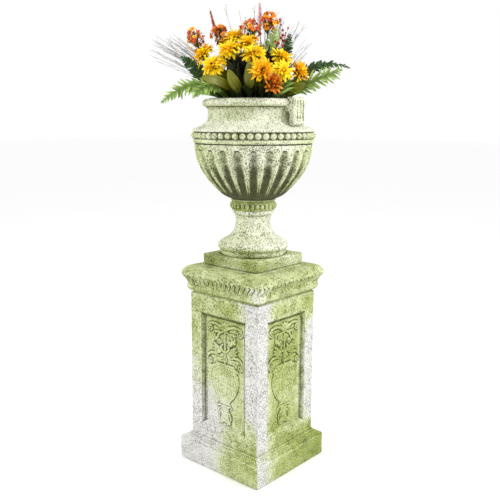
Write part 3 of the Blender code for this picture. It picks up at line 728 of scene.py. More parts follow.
def arabesque(across, height):
    """Height of the relief at places given by distance from the centre line and height: the
    highest of all the strokes, made a little uneven by slow waves."""
    place = np.stack([np.abs(across), height], -1)
    humps = [stroke(place, np.linspace((0.0, 0.566), (0.0, 0.40), 60), 0.0050, 0.0034, 0.1)]
    for tip in ((0.0, 0.574), (0.015, 0.570), (0.028, 0.560)):
        humps.append(leaf(place, (0.002, 0.540), tip, 0.0072, 0.0052))
    strands = [
        ([(0.010, 0.545), (0.030, 0.556), (0.056, 0.560), (0.078, 0.554), (0.087, 0.541)], 0.0058),
        ([(0.006, 0.536), (0.024, 0.528), (0.036, 0.512), (0.036, 0.497), (0.026, 0.486)], 0.0058),
        ([(0.044, 0.530), (0.050, 0.515), (0.046, 0.500)], 0.0040),
        ([(0.012, 0.486), (0.020, 0.476), (0.014, 0.464), (0.002, 0.458)], 0.0062),
        ([(0.030, 0.440), (0.052, 0.446), (0.074, 0.442), (0.086, 0.430), (0.088, 0.415)], 0.0060),
        ([(0.010, 0.250), (0.026, 0.250), (0.038, 0.243)], 0.0050),
        ([(0.006, 0.236), (0.024, 0.222), (0.030, 0.206), (0.026, 0.192)], 0.0052),
        ([(0.003, 0.226), (0.010, 0.206), (0.008, 0.188)], 0.0046)]
    for points, width in strands:
        humps.append(stroke(place, path_through(points), width, 0.0054))
    for centre, radius, start, turns in (((0.073, 0.541), 0.0135, 0.0, -1.35),
                                         ((0.026, 0.497), 0.0100, 10.0, -1.20),
                                         ((0.076, 0.414), 0.0120, 0.0, -1.35),
                                         ((0.018, 0.190), 0.0095, 0.0, -1.20),
                                         ((0.048, 0.503), 0.0080, 60.0, 1.0)):
        humps.append(stroke(place, scroll(centre, radius, start, turns), 0.0042, 0.0056, 0.2))
    for tip in ((0.058, 0.488), (0.064, 0.474), (0.062, 0.460), (0.052, 0.449)):
        humps.append(leaf(place, (0.018, 0.458), tip, 0.0070, 0.0056))
    for tip in ((0.034, 0.526), (0.060, 0.530)):
        humps.append(leaf(place, (0.016, 0.532), tip, 0.0050, 0.0042))
    ring = np.abs(np.hypot(place[..., 0], place[..., 1] - 0.430) - 0.0085)
    humps.append(0.0054 * np.sqrt(np.clip(1.0 - (ring / 0.0034) ** 2, 0.0, 1.0)))
    humps.append(swelling(place, [(0.001, 0.4131), (0.044, 0.413), (0.050, 0.404), (0.060, 0.402),
                                  (0.066, 0.392), (0.058, 0.386), (0.064, 0.376), (0.069, 0.356),
                                  (0.067, 0.335), (0.057, 0.308), (0.042, 0.286), (0.030, 0.274),
                                  (0.024, 0.264), (0.030, 0.256), (0.001, 0.2551)], 0.0060, 9))
    humps.append(swelling(place, [(0.001, 0.2541), (0.021, 0.254), (0.019, 0.235), (0.020, 0.205),
                                  (0.026, 0.184), (0.001, 0.1839)], 0.0052, 2))
    for height_of_band in (0.397, 0.381, 0.281):
        band = np.linspace((0.0, height_of_band), (0.054 if height_of_band > 0.3 else 0.030,
                                                   height_of_band), 30)
        humps.append(stroke(place, band, 0.0032, 0.0062, 0.0))
    relief = np.maximum.reduce(humps)
    worn = 1.0 - 0.22 * (0.5 + 0.5 * ripple(np.stack([across, 0 * across, height], -1), 0.05, 8))
    return np.minimum(relief, RELIEF) * worn


print("relief in the middle of the vase:", arabesque(np.zeros(1), np.full(1, 0.335)).round(4), "m")

# %% Four panels
FADE = 0.004                    # the relief dies away over this width at the slab's sides
OUTLINE_DEEP = 0.0013           # a point this far under its surroundings gets the full painted shade

panel_half = FIELD_HALF - REVEAL - GAP
panel_low, panel_high = FIELD_LOW + REVEAL + GAP, FIELD_HIGH - REVEAL - GAP
panel_front = -(DIE_HALF - REVEAL_DEEP)
panel_x = np.linspace(-panel_half, panel_half, 134)
panel_z = np.linspace(panel_low, panel_high, 288)
relief_height = arabesque(*np.meshgrid(panel_x, panel_z))
relief_height = soften(soften(relief_height, 1).T, 1).T
# painted shade round the foot of each raised stroke of the relief
outline_shade = soften(soften(relief_height, 14).T, 14).T - relief_height
outline_shade = np.clip(outline_shade / OUTLINE_DEEP, 0.0, 1.0) ** 1.5 * 0.85
fade = np.minimum(panel_half - np.abs(panel_x), FADE) / FADE
front_points = np.stack([np.broadcast_to(panel_x, relief_height.shape),
                         panel_front - relief_height * fade,
                         np.broadcast_to(panel_z[:, None], relief_height.shape)], -1)
back_x = np.linspace(panel_half, -panel_half, 6)
back_points = np.stack(np.broadcast_arrays(back_x, panel_front + SLAB - GAP, panel_z[:, None]), -1)
panel_rings = np.concatenate([front_points, back_points], 1)
panel_outline_shade = np.concatenate([outline_shade, np.zeros((len(panel_z), len(back_x)))], 1)
for turn, side in enumerate(("front", "right", "back", "left")):
    spin = np.array(Matrix.Rotation(0.5 * math.pi * turn, 3, "Z"))
    panel = weathered(panel_rings @ spin.T, wear=0.0006, recess_shade=panel_outline_shade)
    make_piece(f"relief_panel_{side}", [(panel, panel_stone)],
               "pedestal", [f"relief_panel_{side}"], 55.0)

# %% [markdown]
# ## Cap
#
# The cap is a big rounded moulding over a band of carved leaves. Single leaves could be laid on with
# an Array modifier, but they would not turn the corners. So a leaf is the moulding's own surface,
# left standing between two cuts that grow wider and deeper towards its tip, with a groove along its
# middle. The pitch is set so that whole leaves go round, corners included.

# %% Cap
CAP_TOP, CAP_BOTTOM, CAP_CORNER = 0.7678, 0.6624, 0.030
LEAF_PITCH, CUT_DEEP, MIDRIB_DEEP = 0.0205, 0.0105, 0.0060
CARVING_FULL = 0.0085           # depth of carving that gets the full painted shade
BAND_LOW, BAND_HIGH = 0.6950, 0.7335


def run_round(half, corner, columns):
    """Distance round a square moulding of one size at each column, and its whole length."""
    place, way = columns
    spots = (half - corner) * place + corner * way
    steps = np.linalg.norm(np.roll(spots, -1, 0) - spots, axis=1)
    run = np.concatenate([[0.0], np.cumsum(steps)[:-1]])
    return run, steps.sum()


cap_columns = square_columns(np.linspace(-1.0, 1.0, 190), 16)
cap_hidden = section([(0.098, 0.733), (0.098, 0.6484)], [(0.118, 0.6484)], [(0.119, CAP_BOTTOM)],
                     [(0.160, CAP_BOTTOM)], step=COARSE)
cap_seen = section(
    [(0.160, CAP_BOTTOM), (0.166, CAP_BOTTOM), (0.168, 0.6674), (0.176, 0.6720), (0.184, 0.6790)],
    [(0.184, 0.6925)], [(0.1825, 0.6945)], [(0.1825, 0.7000), (0.1865, 0.7120), (0.1905, 0.7190)],
    [(0.1965, 0.7270), (0.199, 0.7365), (0.196, 0.7475), (0.188, 0.7575), (0.177, 0.7630),
     (0.160, 0.7645), (0.1465, 0.7650)], [(0.1445, CAP_TOP)], [(0.115, CAP_TOP)], step=0.0018)
cap_top = section([(0.115, CAP_TOP), (0.030, CAP_TOP)], step=COARSE)
cap_line = np.concatenate([cap_hidden, soften(cap_seen, 1)[1:], cap_top[1:]])
cap_rings = square_rings(cap_line, CAP_CORNER, cap_columns)
run, girth = run_round(0.185, CAP_CORNER, cap_columns)
leaves_round = 4 * round(girth / LEAF_PITCH / 4)
rise = np.clip((cap_line[:, 1] - BAND_LOW) / (BAND_HIGH - BAND_LOW), 0.0, 1.0)[:, None]
lean = 0.22 * np.sin(2 * math.pi * rise)
phase = np.abs((run / girth * leaves_round + lean) % 1.0 - 0.5) * 2.0
gap_wide = 0.16 + 0.30 * rise ** 1.5
between = np.clip(1.0 - (1.0 - phase) / gap_wide, 0.0, 1.0) ** 0.7
rib = np.exp(-(phase / 0.10) ** 2) * 0.25
in_band = (rise > 0.0) & (rise < 1.0) & (cap_line[:, 0] > 0.15)[:, None]
band_fade = np.sin(math.pi * rise) ** 0.6 * in_band
carved = (CUT_DEEP * between + MIDRIB_DEEP * rib) * band_fade * (0.5 + 0.7 * rise)

# the carving is worn unevenly, and most on the right and back faces
carved *= 0.80 + 0.40 * ripple(cap_rings, 0.045, 21)
carved *= 1.0 - 0.45 * smooth(cap_rings[..., 0] + cap_rings[..., 1], 0.02, 0.06)
cap_rings -= outward(cap_rings) * carved[..., None]
# painted shade darkens the carving, the deeper the darker
make_piece("pedestal_cap", [(weathered(cap_rings, recess_shade=carved / CARVING_FULL), cap_stone)],
           "pedestal", ["pedestal_cap"])

# %% [markdown]
# ## Foot of the urn
#
# A square block turns into a round, waisted socle in one casting. A Boolean union of the two would
# leave ragged faces where they meet. Here the rings start as squares and end as circles, and the
# few rings between mix the two by a share, so one lattice covers the block's flat top. Below, it is
# hollow for the nut of the tie rod.

# %% Foot
FOOT_HALF, FOOT_BOTTOM, BLOCK_TOP, SOCLE_TOP = 0.1324, 0.7681, 0.810, 0.9732
ROD_HOLE, NUT_HALF, NUT_TOP = 0.0065, 0.055, 0.800      # radii of rod hole and nut hollow, its top
BLOCK_CORNER = 0.007


def round_from_square(radii, heights, columns):
    """Circles whose points stand at the angles of a square moulding's columns: a radius times the
    direction from the axis to the column."""
    spots = columns[0] + 0.1 * columns[1]
    way = unit(spots)
    flat = radii[:, None, None] * way
    height = np.broadcast_to(heights[:, None, None], (*flat.shape[:2], 1))
    return np.concatenate([flat, height], -1)


foot_columns = square_columns(np.linspace(-1.0, 1.0, 76), 4)
block_line = soften(section([(0.060, FOOT_BOTTOM), (FOOT_HALF - 0.003, FOOT_BOTTOM)],
                            [(FOOT_HALF, FOOT_BOTTOM + 0.003)], [(FOOT_HALF, BLOCK_TOP - 0.003)],
                            [(FOOT_HALF - 0.004, BLOCK_TOP)], [(0.1225, BLOCK_TOP)]), 1)
socle_line = soften(section(
    [(0.1200, BLOCK_TOP), (0.1225, 0.8160), (0.1240, 0.8285)], [(0.1258, 0.8305)],
    [(0.1300, 0.8365), (0.1310, 0.8430), (0.1280, 0.8510), (0.1140, 0.8620), (0.0890, 0.8760),
     (0.0740, 0.8940), (0.0655, 0.9200), (0.0650, 0.9450), (0.0690, 0.9560)],
    [(0.0755, 0.9600)], [(0.0780, SOCLE_TOP)], [(0.060, SOCLE_TOP)]), 1)
bore_line = section([(0.060, SOCLE_TOP), (ROD_HOLE, SOCLE_TOP)], [(ROD_HOLE, NUT_TOP)],
                    [(NUT_HALF, NUT_TOP)], [(NUT_HALF, FOOT_BOTTOM)], step=0.02)[1:]
block_rings = square_rings(block_line, BLOCK_CORNER, foot_columns)
first_circle = round_from_square(*socle_line[:1].T, foot_columns)
share = np.linspace(0.0, 1.0, 9)[1:-1, None, None]
foot_rings = np.concatenate([block_rings, (1 - share) * block_rings[-1:] + share * first_circle,
                             round_from_square(*socle_line.T, foot_columns),
                             round_from_square(*bore_line.T, foot_columns)])
make_piece("urn_foot", [(weathered(foot_rings, "joined"), foot_stone)], "urn",
           ["urn_foot"])

# %% [markdown]
# ## Turned pieces of the urn
#
# Collar and bowls were cast in turned moulds, so each is a section swept round the axis. A Screw
# modifier could sweep it, but the carving would need a cut for each groove. Here carving is a depth
# that depends on height and angle: eggs round the collar, and on the lower bowl flutes whose depth
# is a parabola across, and whose width closes along an ellipse to make an arched top.

# %% Collar
COLLAR_LOW, COLLAR_TOP = 0.9735, 1.0130
EGGS, EGG_DEEP, EGG_FULL = 28, 0.0052, 0.0050   # EGG_FULL gets the full painted shade


def turned(line, columns):
    """Rings from a section of radius and height, with even angles round."""
    angle = np.linspace(0.0, 2 * math.pi, columns, endpoint=False)
    radius, height = line[:, 0, None], line[:, 1, None]
    return np.stack([radius * np.cos(angle), radius * np.sin(angle),
                     np.broadcast_to(height, (len(line), columns))], -1), angle


collar_line = np.concatenate([
    soften(section([(0.070, COLLAR_LOW), (0.0785, COLLAR_LOW)], [(0.0800, 0.9765)],
                   [(0.0835, 0.9800), (0.0868, 0.9890), (0.0845, 0.9985)],
                   [(0.0800, 1.0005)], [(0.0785, 1.0060)], [(0.0820, 1.0085)],
                   [(0.0822, COLLAR_TOP)], [(0.070, COLLAR_TOP)], step=0.0012), 1),
    section([(0.069, COLLAR_TOP), (ROD_HOLE, COLLAR_TOP)], [(ROD_HOLE, COLLAR_LOW)],
            [(0.069, COLLAR_LOW)], step=COARSE)])
collar_rings, collar_angle = turned(collar_line, 14 * EGGS)
egg = np.abs(np.cos(0.5 * EGGS * collar_angle))
egg_zone = smooth(collar_line[:, 1], 0.9765, 0.981) * (1 - smooth(collar_line[:, 1], 0.996, 1.0005))
egg_zone = egg_zone * (collar_line[:, 0] > 0.05)
egg_depth = EGG_DEEP * (1 - egg) ** 1.2 * egg_zone[:, None]
collar_rings -= outward(collar_rings, True) * egg_depth[..., None]
# painted shade darkens the gaps between the eggs
collar = weathered(collar_rings, "joined", 0.0004, egg_depth / EGG_FULL)
make_piece("urn_collar", [(collar, collar_stone)], "urn", ["urn_collar"])

# %% Lower bowl
BOWL_TOP, BOWL_FLOOR = 1.2118, 1.042
FLUTES, FLUTE_TURN, FLUTE_DEEP = 24, math.radians(11.0), 0.0090
FLUTE_HIGH, FLUTE_LOW, ARCH_HIGH = 1.194, 1.021, 0.022
FLUTE_WIDE = 0.41               # half width, as a share of the pitch

bowl_low = COLLAR_TOP + GAP
bowl_line = np.concatenate([
    soften(section([(0.060, bowl_low), (0.081, bowl_low)],
                   [(0.107, 1.025), (0.1385, 1.053), (0.167, 1.084), (0.189, 1.117),
                    (0.204, 1.149), (0.211, 1.180), (0.2138, 1.198), (0.2142, BOWL_TOP)],
                   [(0.207, BOWL_TOP)]), 1),
    section([(0.206, BOWL_TOP), (0.190, BOWL_TOP)], [(0.184, 1.160), (0.150, 1.097),
            (0.110, 1.060), (0.075, BOWL_FLOOR)], [(ROD_HOLE, BOWL_FLOOR)], [(ROD_HOLE, bowl_low)],
            [(0.058, bowl_low)], step=COARSE)])
bowl_rings, bowl_angle = turned(bowl_line, 26 * FLUTES)
flute = np.abs(((bowl_angle - FLUTE_TURN) * FLUTES / (2 * math.pi) + 0.5) % 1.0 - 0.5)
high = bowl_line[:, 1]
in_arch = np.clip(high - FLUTE_HIGH + ARCH_HIGH, 0, None) / ARCH_HIGH
arch = np.sqrt(np.clip(1.0 - in_arch ** 2, 0, 1))
half_wide = np.maximum(FLUTE_WIDE * arch, 1e-3)[:, None]
groove = np.clip(1.0 - (flute / half_wide) ** 2, 0.0, 1.0)
outside = np.arange(len(bowl_line)) < np.argmax(high >= BOWL_TOP - 0.001)
deep = FLUTE_DEEP * smooth(high, FLUTE_LOW - 0.004, FLUTE_LOW + 0.05) * outside * (arch > 0)
deep = deep * (1.0 - 0.70 * smooth(high, FLUTE_HIGH - 0.045, FLUTE_HIGH))
bowl_rings -= outward(bowl_rings, True) * (deep[:, None] * groove)[..., None]

# painted shade darkens the flutes, most those that face the front corner
frontal = smooth(np.cos(bowl_angle) - np.sin(bowl_angle), 0.55, 1.35)
recess_shade = (0.03 + 0.30 * frontal) * groove ** 1.6 * (deep > 0)[:, None]
make_piece("lower_bowl", [(weathered(bowl_rings, "joined", recess_shade=recess_shade), bowl_stone)],
           "urn", ["lower_bowl"])

# %% [markdown]
# ## Upper bowl and its beads
#
# The upper bowl closes in over a plain band, a hollow that holds a row of beads, a sloped shoulder
# and a neck with a rolled rim. Again one section is swept round the axis, because a lathe's shape
# needs nothing more. The hollow behind the beads is darkened with painted shade.

# %% Upper bowl
UPPER_LOW, RIM_TOP = 1.2148, 1.369
BEAD_HOLLOW = (1.2300, 1.2550)  # its lowest and highest place
ROLL_CENTRE, ROLL_RADIUS = (0.1740, 1.3550), 0.0125     # the rim's roll


def round_arc(centre, radius, start, end):
    """Points a few degrees apart on an arc, from one angle to the other, in degrees."""
    angle = np.radians(np.linspace(start, end, 9))
    return list(np.stack([centre[0] + radius * np.cos(angle),
                          centre[1] + radius * np.sin(angle)], -1))


upper_line = np.concatenate([
    soften(section([(0.207, UPPER_LOW), (0.2150, UPPER_LOW)], [(0.2195, 1.2180)],
                   [(0.2200, 1.2275)], [(0.2150, 1.2300)], [(0.2135, 1.2420), (0.2150, 1.2540)],
                   [(0.2225, 1.2560)], [(0.2235, 1.2610), (0.2190, 1.2652)],
                   [(0.2080, 1.2690), (0.1950, 1.2745), (0.1800, 1.2825), (0.1695, 1.2930),
                    (0.1655, 1.3080), (0.1650, 1.3230), (0.1668, 1.3340), (0.1715, 1.3410)],
                   [*round_arc(ROLL_CENTRE, ROLL_RADIUS, -62.0, 72.0), (0.1720, RIM_TOP)],
                   [(0.158, RIM_TOP)]), 1),
    section([(0.157, RIM_TOP), (0.1500, RIM_TOP)], [(0.1430, 1.3620)], [(0.1410, 1.3150),
            (0.1440, 1.2930)], [(0.1700, 1.2690), (0.1960, 1.2480)], [(0.1930, UPPER_LOW)],
            [(0.206, UPPER_LOW)], step=0.006)])
upper_rings = turned(upper_line, 440)[0]
behind_beads = (upper_rings[..., 2] > BEAD_HOLLOW[0]) & (upper_rings[..., 2] < BEAD_HOLLOW[1])
# painted shade in the hollow behind the beads
upper = weathered(upper_rings, "joined", recess_shade=0.75 * behind_beads)
make_piece("upper_bowl", [(upper, upper_stone)], "urn", ["upper_bowl"], 45.0)

# %% [markdown]
# ## Beads
#
# Pearls of stone stand out of the hollow, side by side all the way round. An Array turned by an
# empty could repeat one ball, but after years of weather they are not all the same size. So they
# are worked out together, as one array, and their lower halves are darkened with painted shade.

# %% Beads
BEADS, BEAD_HIGH, BEAD_RING, BEAD_SIZE = 52, 1.2420, 0.2158, 0.0108
POLE = 0.25                     # how far from its pole a ball's first ring lies, in radians


def balls(centres, ways, sizes, rings=7, columns=10):
    """Many small closed balls. Each ring is a circle of latitude about its own way: the cosine of
    the latitude times a direction round, plus its sine times that way."""
    latitude = np.linspace(-0.5 * math.pi + POLE, 0.5 * math.pi - POLE, rings)[:, None, None]
    longitude = np.linspace(0.0, 2 * math.pi, columns, endpoint=False)[:, None]
    spare = np.where(np.abs(ways[:, 2:]) > 0.9, [[1.0, 0, 0]], [[0, 0, 1.0]])
    first = unit(np.cross(ways, spare))
    second = np.cross(ways, first)
    flat = np.cos(longitude) * first[:, None] + np.sin(longitude) * second[:, None]
    shell = np.cos(latitude) * flat[:, None] + np.sin(latitude) * ways[:, None, None]
    return centres[:, None, None] + sizes[:, None, None, None] * shell


bead_angle = 2 * math.pi * (np.arange(BEADS) + 0.5) / BEADS
bead_way = np.stack([np.cos(bead_angle), np.sin(bead_angle), 0 * bead_angle], -1)
bead_centre = BEAD_RING * bead_way + [0.0, 0.0, BEAD_HIGH]
bead_size = BEAD_SIZE * (1.0 + 0.05 * np.sin(7 * bead_angle))
bead_points = balls(bead_centre, bead_way, bead_size, 9, 16)
# painted shade: the lower half of each bead is darker, the upper half lighter
bead_lower_shade = np.clip((BEAD_HIGH - bead_points[..., 2]) / BEAD_SIZE, -1, 1) * 0.5
make_piece("bead_row", [(lattice(bead_points, hollow=bead_lower_shade), bead_stone)], "urn")

# %% [markdown]
# ## Bracket lugs
#
# Each lug hooks over the rim like a corbel: a fluted front that bows out, ending in a roll below.
# Its side view is a closed line. A filled curve with thickness could be that, but its flanks would
# be plain and its front flat. So rings of that line run across the lug; near both flanks they round
# over and draw in towards a spine, and a last flat face closes each flank. A spiral groove marks
# the roll on each flank, and a slanting one crosses the flank above it.

# %% Side view of a lug
ROLL_AT, ROLL_SIZE = (0.1960, 1.2888), 0.0115

lug_line = section([(0.1775, 1.3735), (0.1900, 1.3738), (0.2000, 1.3732)],
                   [(0.2050, 1.3680), (0.2068, 1.3560), (0.2066, 1.3400), (0.2056, 1.3220),
                    (0.2062, 1.3060), (0.2068, 1.2975)],
                   [*round_arc(ROLL_AT, ROLL_SIZE, 20.0, -200.0)],
                   [(0.1850, 1.3030), (0.1855, 1.3180)], [(0.1790, 1.3260), (0.1690, 1.3280)],
                   [(0.1680, 1.3400), (0.1765, 1.3440), (0.1850, 1.3500), (0.1862, 1.3570),
                    (0.1838, 1.3640)], [(0.1775, 1.3696)], [(0.1775, 1.3735)], step=0.0018)[:-1]
lug_spine = curve([(0.183, 1.3715), (0.196, 1.366), (0.1965, 1.345), (0.1955, 1.320), ROLL_AT], 0.002)
print("points on a lug's side view:", len(lug_line), "and on its spine:", len(lug_spine))

# %% Lugs
LUG_HALF, LUG_ROUND = 0.030, 0.0045
GROOVE_PITCH, GROOVE_DEEP = 0.0165, 0.0040      # upright grooves on the front
RIB_PITCH, RIB_DEEP = 0.0085, 0.0012            # and finer ones on the roll
SPIRAL_DEEP, SLIT_DEEP, SLIT_WIDE = 0.0022, 0.0030, 0.0016
SLIT_AT, SLIT_SLOPE = (0.196, 1.334), 0.8


def lug(side):
    """Rings of the lug across its width, from one flank to the other: the side view, moved in
    towards the spine at the flanks and cut by waves of grooves in front. Close to the neck it
    bends round the urn's axis. side is 1.0 at the right of the urn and -1.0 at its left."""
    gaps = np.linalg.norm(lug_line[:, None] - lug_spine[None], axis=-1)
    goal = lug_spine[gaps.argmin(1)]
    far = gaps.min(1)[:, None]
    turn = np.linspace(0.0, 0.5 * math.pi, 5)
    rim_in = LUG_ROUND * (1 - np.cos(turn))
    rim_y = LUG_HALF - LUG_ROUND + LUG_ROUND * np.sin(turn)
    shares = np.linspace(0.0, 0.88, 12)[1:]
    steps = [np.minimum(inward, 0.5 * far) for inward in rim_in]
    steps += [np.minimum(LUG_ROUND, 0.5 * far) * (1 - share) + far * share for share in shares]
    flank_y = np.concatenate([rim_y, np.full(len(shares), LUG_HALF)])
    flank = np.stack([lug_line + (goal - lug_line) * (step / far) for step in steps])
    away = flank - np.array(ROLL_AT)
    radius, angle = np.hypot(*away.T).T, np.arctan2(away[..., 1], away[..., 0])
    spiral = np.abs(((radius / (0.42 * ROLL_SIZE) - angle / (2 * math.pi)) % 1.0) - 0.5)
    cut = SPIRAL_DEEP * smooth(spiral, 0.30, 0.42) * (radius < 1.9 * ROLL_SIZE) * (radius > 0.002)
    over_slit = flank[..., 1] - SLIT_AT[1] - SLIT_SLOPE * (flank[..., 0] - SLIT_AT[0])
    slit = SLIT_DEEP * np.exp(-(over_slit / SLIT_WIDE) ** 2)
    cut = (cut + slit) * (np.arange(len(steps)) > 4)[:, None]
    high_y = flank_y[:, None] - cut
    middle_y = np.linspace(-(LUG_HALF - LUG_ROUND), LUG_HALF - LUG_ROUND, 45)[1:-1]
    front = (smooth(lug_line[:, 0], 0.199, 0.203) * smooth(lug_line[:, 1], 1.290, 1.302)
             * (1 - smooth(lug_line[:, 1], 1.360, 1.369)))
    waves = 0.5 + 0.5 * np.cos(2 * math.pi * middle_y / GROOVE_PITCH + math.pi)
    grooves = GROOVE_DEEP * waves ** 1.6
    belt = np.repeat(lug_line[None], len(middle_y), 0)
    belt[..., 0] -= grooves[:, None] * front
    ribs = RIB_DEEP * (0.5 + 0.5 * np.cos(2 * math.pi * middle_y / RIB_PITCH))
    roll = np.hypot(*(lug_line - ROLL_AT).T) < ROLL_SIZE * 1.15
    belt -= (ribs[:, None] * roll)[..., None] * unit(lug_line - ROLL_AT)
    side_view = np.concatenate([flank[::-1], belt, flank])
    across = np.concatenate([-high_y[::-1], np.broadcast_to(middle_y[:, None], belt.shape[:2]),
                             high_y])
    inner = smooth(-side_view[..., 0], -0.190, -0.176)
    bend = side_view[..., 0] - np.sqrt(np.maximum(side_view[..., 0] ** 2 - across ** 2, 0.0))
    x = side_view[..., 0] - bend * inner
    points = np.stack([side * x, across, side_view[..., 1]], -1)
    return points if side > 0 else points[:, ::-1]


def facing_out(shape):
    """The same shape, turned the right way out if its volume, a sum over its squares of one
    corner times the cross product of the next two, is less than nothing."""
    squares = shape.points[shape.faces[0]]
    volume = np.einsum("ij,ij->", squares[:, 0], np.cross(squares[:, 1], squares[:, 2]))
    if volume < 0:
        shape.faces = [block[:, ::-1] for block in shape.faces]
    return shape


for name, side in (("right", 1.0), ("left", -1.0)):
    worn = weathered(lug(side), wear=0.0003)
    make_piece(f"handle_{name}", [(facing_out(worn), upper_stone)], "urn",
               [f"handle_{name}"], 50.0)

# %% [markdown]
# ## Hidden and plain CAD pieces
#
# Some CAD pieces already have their final shape: the mortar in the seam, the steel that holds the
# urn together, and the liner with its foam. They keep their meshes and only get a finish.

# %% Finishes of the CAD pieces
mortar, mortar_shader, at = new_material("dark_mortar", 0.95)
mortar_clouds = at.noise(160.0, 3.0)
wire(mortar_clouds.step(0.3, 0.7).between((38, 38, 26), (74, 72, 54)), mortar_shader, "Base Color")
bump(mortar_clouds, mortar_shader, 0.0008)

steel, steel_shader, at = new_material("zinc_plated_steel", 0.35, 1.0)
spangle = at.noise(240.0, 2.0)
wire(spangle.between((168, 170, 172), (206, 208, 210)), steel_shader, "Base Color")
wire(0.28 + spangle * 0.25, steel_shader, "Roughness")

plastic, plastic_shader, at = new_material("liner_plastic", 0.45)
scuffs = at.noise(90.0, 4.0, 0.7)
wire(scuffs.between((16, 19, 15), (34, 38, 31)), plastic_shader, "Base Color")
wire(0.38 + scuffs * 0.3, plastic_shader, "Roughness")

foam, foam_shader, at = new_material("floral_foam", 0.98)
pores = at.cells(420.0)
wire(pores.step(0.1, 0.5).between((12, 20, 8), (34, 54, 26)), foam_shader, "Base Color")
bump(pores, foam_shader, 0.0015)

CAD_FINISHES = {"seam_mortar": mortar, "dowel_right": steel, "dowel_left": steel,
                "tie_rod": steel, "rod_washer_lower": steel, "rod_washer_upper": steel,
                "rod_nut_lower": steel, "rod_nut_upper": steel, "liner_pot": plastic,
                "floral_foam": foam}
for node, finish in CAD_FINISHES.items():
    bpy.data.objects[node].data.materials.clear()
    bpy.data.objects[node].data.materials.append(finish)
print("finished CAD pieces:", len(CAD_FINISHES))

# %% [markdown]
# ## Stems and blades
#
# The flowers are cloth and plastic: wired stems, and petals and leaves stamped from thin sheet. Each
# could be a small mesh, copied and turned, but then all of them would be alike. Two skins make them
# all. A tube is a round stem along a curve. A blade is a thin diamond along a
# curve, as wide as an outline says, with its edges folded up a little. Both take many curves at
# once, so a flower's petals are one array. Blades carry how far along and across each point is,
# and a shade of their own, so no two petals are the same yellow.

# %% Places and curves of the bouquet
FACING = math.radians(41.0)     # the way that the bouquet faces
STEM_START = 1.3503             # the stems come out of the foam here
UP = np.array([0.0, 0.0, 1.0])
ODD_WAY = [0.31, 0.22, 0.92]    # no stem or petal runs along these two
SPARE_WAY = [0.31, 0.95, 0.02]


def spot(across, toward, height):
    """World point from metres to the right, towards the viewer and up, facing the flowers."""
    cosine, sine = math.cos(FACING), math.sin(FACING)
    return np.array([across * cosine + toward * sine, across * sine - toward * cosine, height])


TOWARD = spot(0.0, 1.0, 0.0)


def bezier(a, b, c, d, count=20):
    """A cubic curve from a to d that starts towards b and arrives from c. With t and u = 1 - t:
    u u u of a, 3 t u u of b, 3 t t u of c and t t t of d."""
    t = np.linspace(0.0, 1.0, count)[:, None]
    return (1 - t) ** 3 * a + 3 * t * (1 - t) ** 2 * b + 3 * t * t * (1 - t) * c + t ** 3 * d


def rooted(root, bend, tip, count=30):
    """A curve out of the foam, first straight up, then through a bend to the tip."""
    start = spot(*root, STEM_START)
    return bezier(start, start + 0.05 * UP, spot(*bend), spot(*tip), count)


def straight(start, end, count):
    """Straight paths from each start to its end, at even steps."""
    return start[:, None] + (end - start)[:, None] * np.linspace(0.0, 1.0, count)[:, None]


def square_to(ways, ahead):
    """Each way, less its part along the direction ahead, made one long."""
    return unit(ways - (ways * ahead).sum(-1, keepdims=True) * ahead)


def square_pair(axis):
    """Two directions square to an axis and to each other."""
    first = unit(np.cross(axis, ODD_WAY))
    return first, np.cross(axis, first)


print("the bouquet faces", TOWARD.round(3))

# %% Stems and blades


def tube(path, radius, around=6, shade=0.0):
    """Closed round stems along paths of the form (copies, rings, 3). A point is the path's plus
    the radius times the cosine and sine of its angle, along two ways square to the path."""
    path = path if path.ndim == 3 else path[None]
    ahead = unit(np.gradient(path, axis=1))
    bend = np.cross(ahead[:, 0], ahead[:, -1])
    spare = np.cross(ahead[:, 0], SPARE_WAY)
    no_bend = np.linalg.norm(bend, axis=-1, keepdims=True) < 0.02
    first = square_to(unit(np.where(no_bend, spare, bend))[:, None], ahead)[:, :, None]
    second = np.cross(ahead[:, :, None], first)
    angle = np.linspace(0.0, 2 * math.pi, around, endpoint=False)[:, None]
    thick = np.broadcast_to(radius, path.shape[:2])[..., None, None]
    points = path[:, :, None] + thick * (np.cos(angle) * first + np.sin(angle) * second)
    along = np.linspace(0.0, 1.0, path.shape[1])[:, None]
    return lattice(points, along=along, shade=np.reshape(shade, (-1, 1, 1)))


def blade(path, face, width, thick=0.00035, fold=0.15, shade=0.0):
    """Thin closed blades along paths of the form (copies, rings, 3). Each ring is a diamond: width
    either way in the blade's plane, thick either way across it. face is the way that the upper
    side looks, and fold lifts both edges towards it, as a share of the width."""
    path = path if path.ndim == 3 else path[None]
    ahead = unit(np.gradient(path, axis=1))
    face = square_to(np.broadcast_to(face, path.shape), ahead)
    side = np.cross(face, ahead)
    wide = np.broadcast_to(width, path.shape[:2])[..., None]
    edge = path + fold * wide * face
    points = np.stack([edge + wide * side, path + thick * face,
                       edge - wide * side, path - thick * face], 2)
    along = np.linspace(0.0, 1.0, path.shape[1])[:, None]
    return lattice(points, along=along, across=np.array([1.0, 0.0, -1.0, 0.0]),
                   shade=np.reshape(shade, (-1, 1, 1)))


def outline(t, root=0.45, tip=0.5):
    """Half width along a blade: it grows as a power of the way from the root and shrinks as a
    power of the way to the tip. The widest place is 1."""
    wide = (t + 0.04) ** root * (1.0 - t) ** tip
    return np.maximum(wide / wide.max(), 0.03)


print("half width along a blade:", outline(np.linspace(0.0, 1.0, 5)).round(2))

# %% [markdown]
# ## Finishes of the plants
#
# Printed cloth petals shade from a warm root to a bright tip, with fine streaks along them, and
# leaves are mostly paler at the tip. An image of one petal could be laid on each, but all would be
# the same. Each finish mixes three colours instead, of the root, the tip and a dull one, by the
# values that the blades carry and a little noise.

# %% Plant finishes
STREAKS = 9.0                   # radians from a blade's middle to its edge


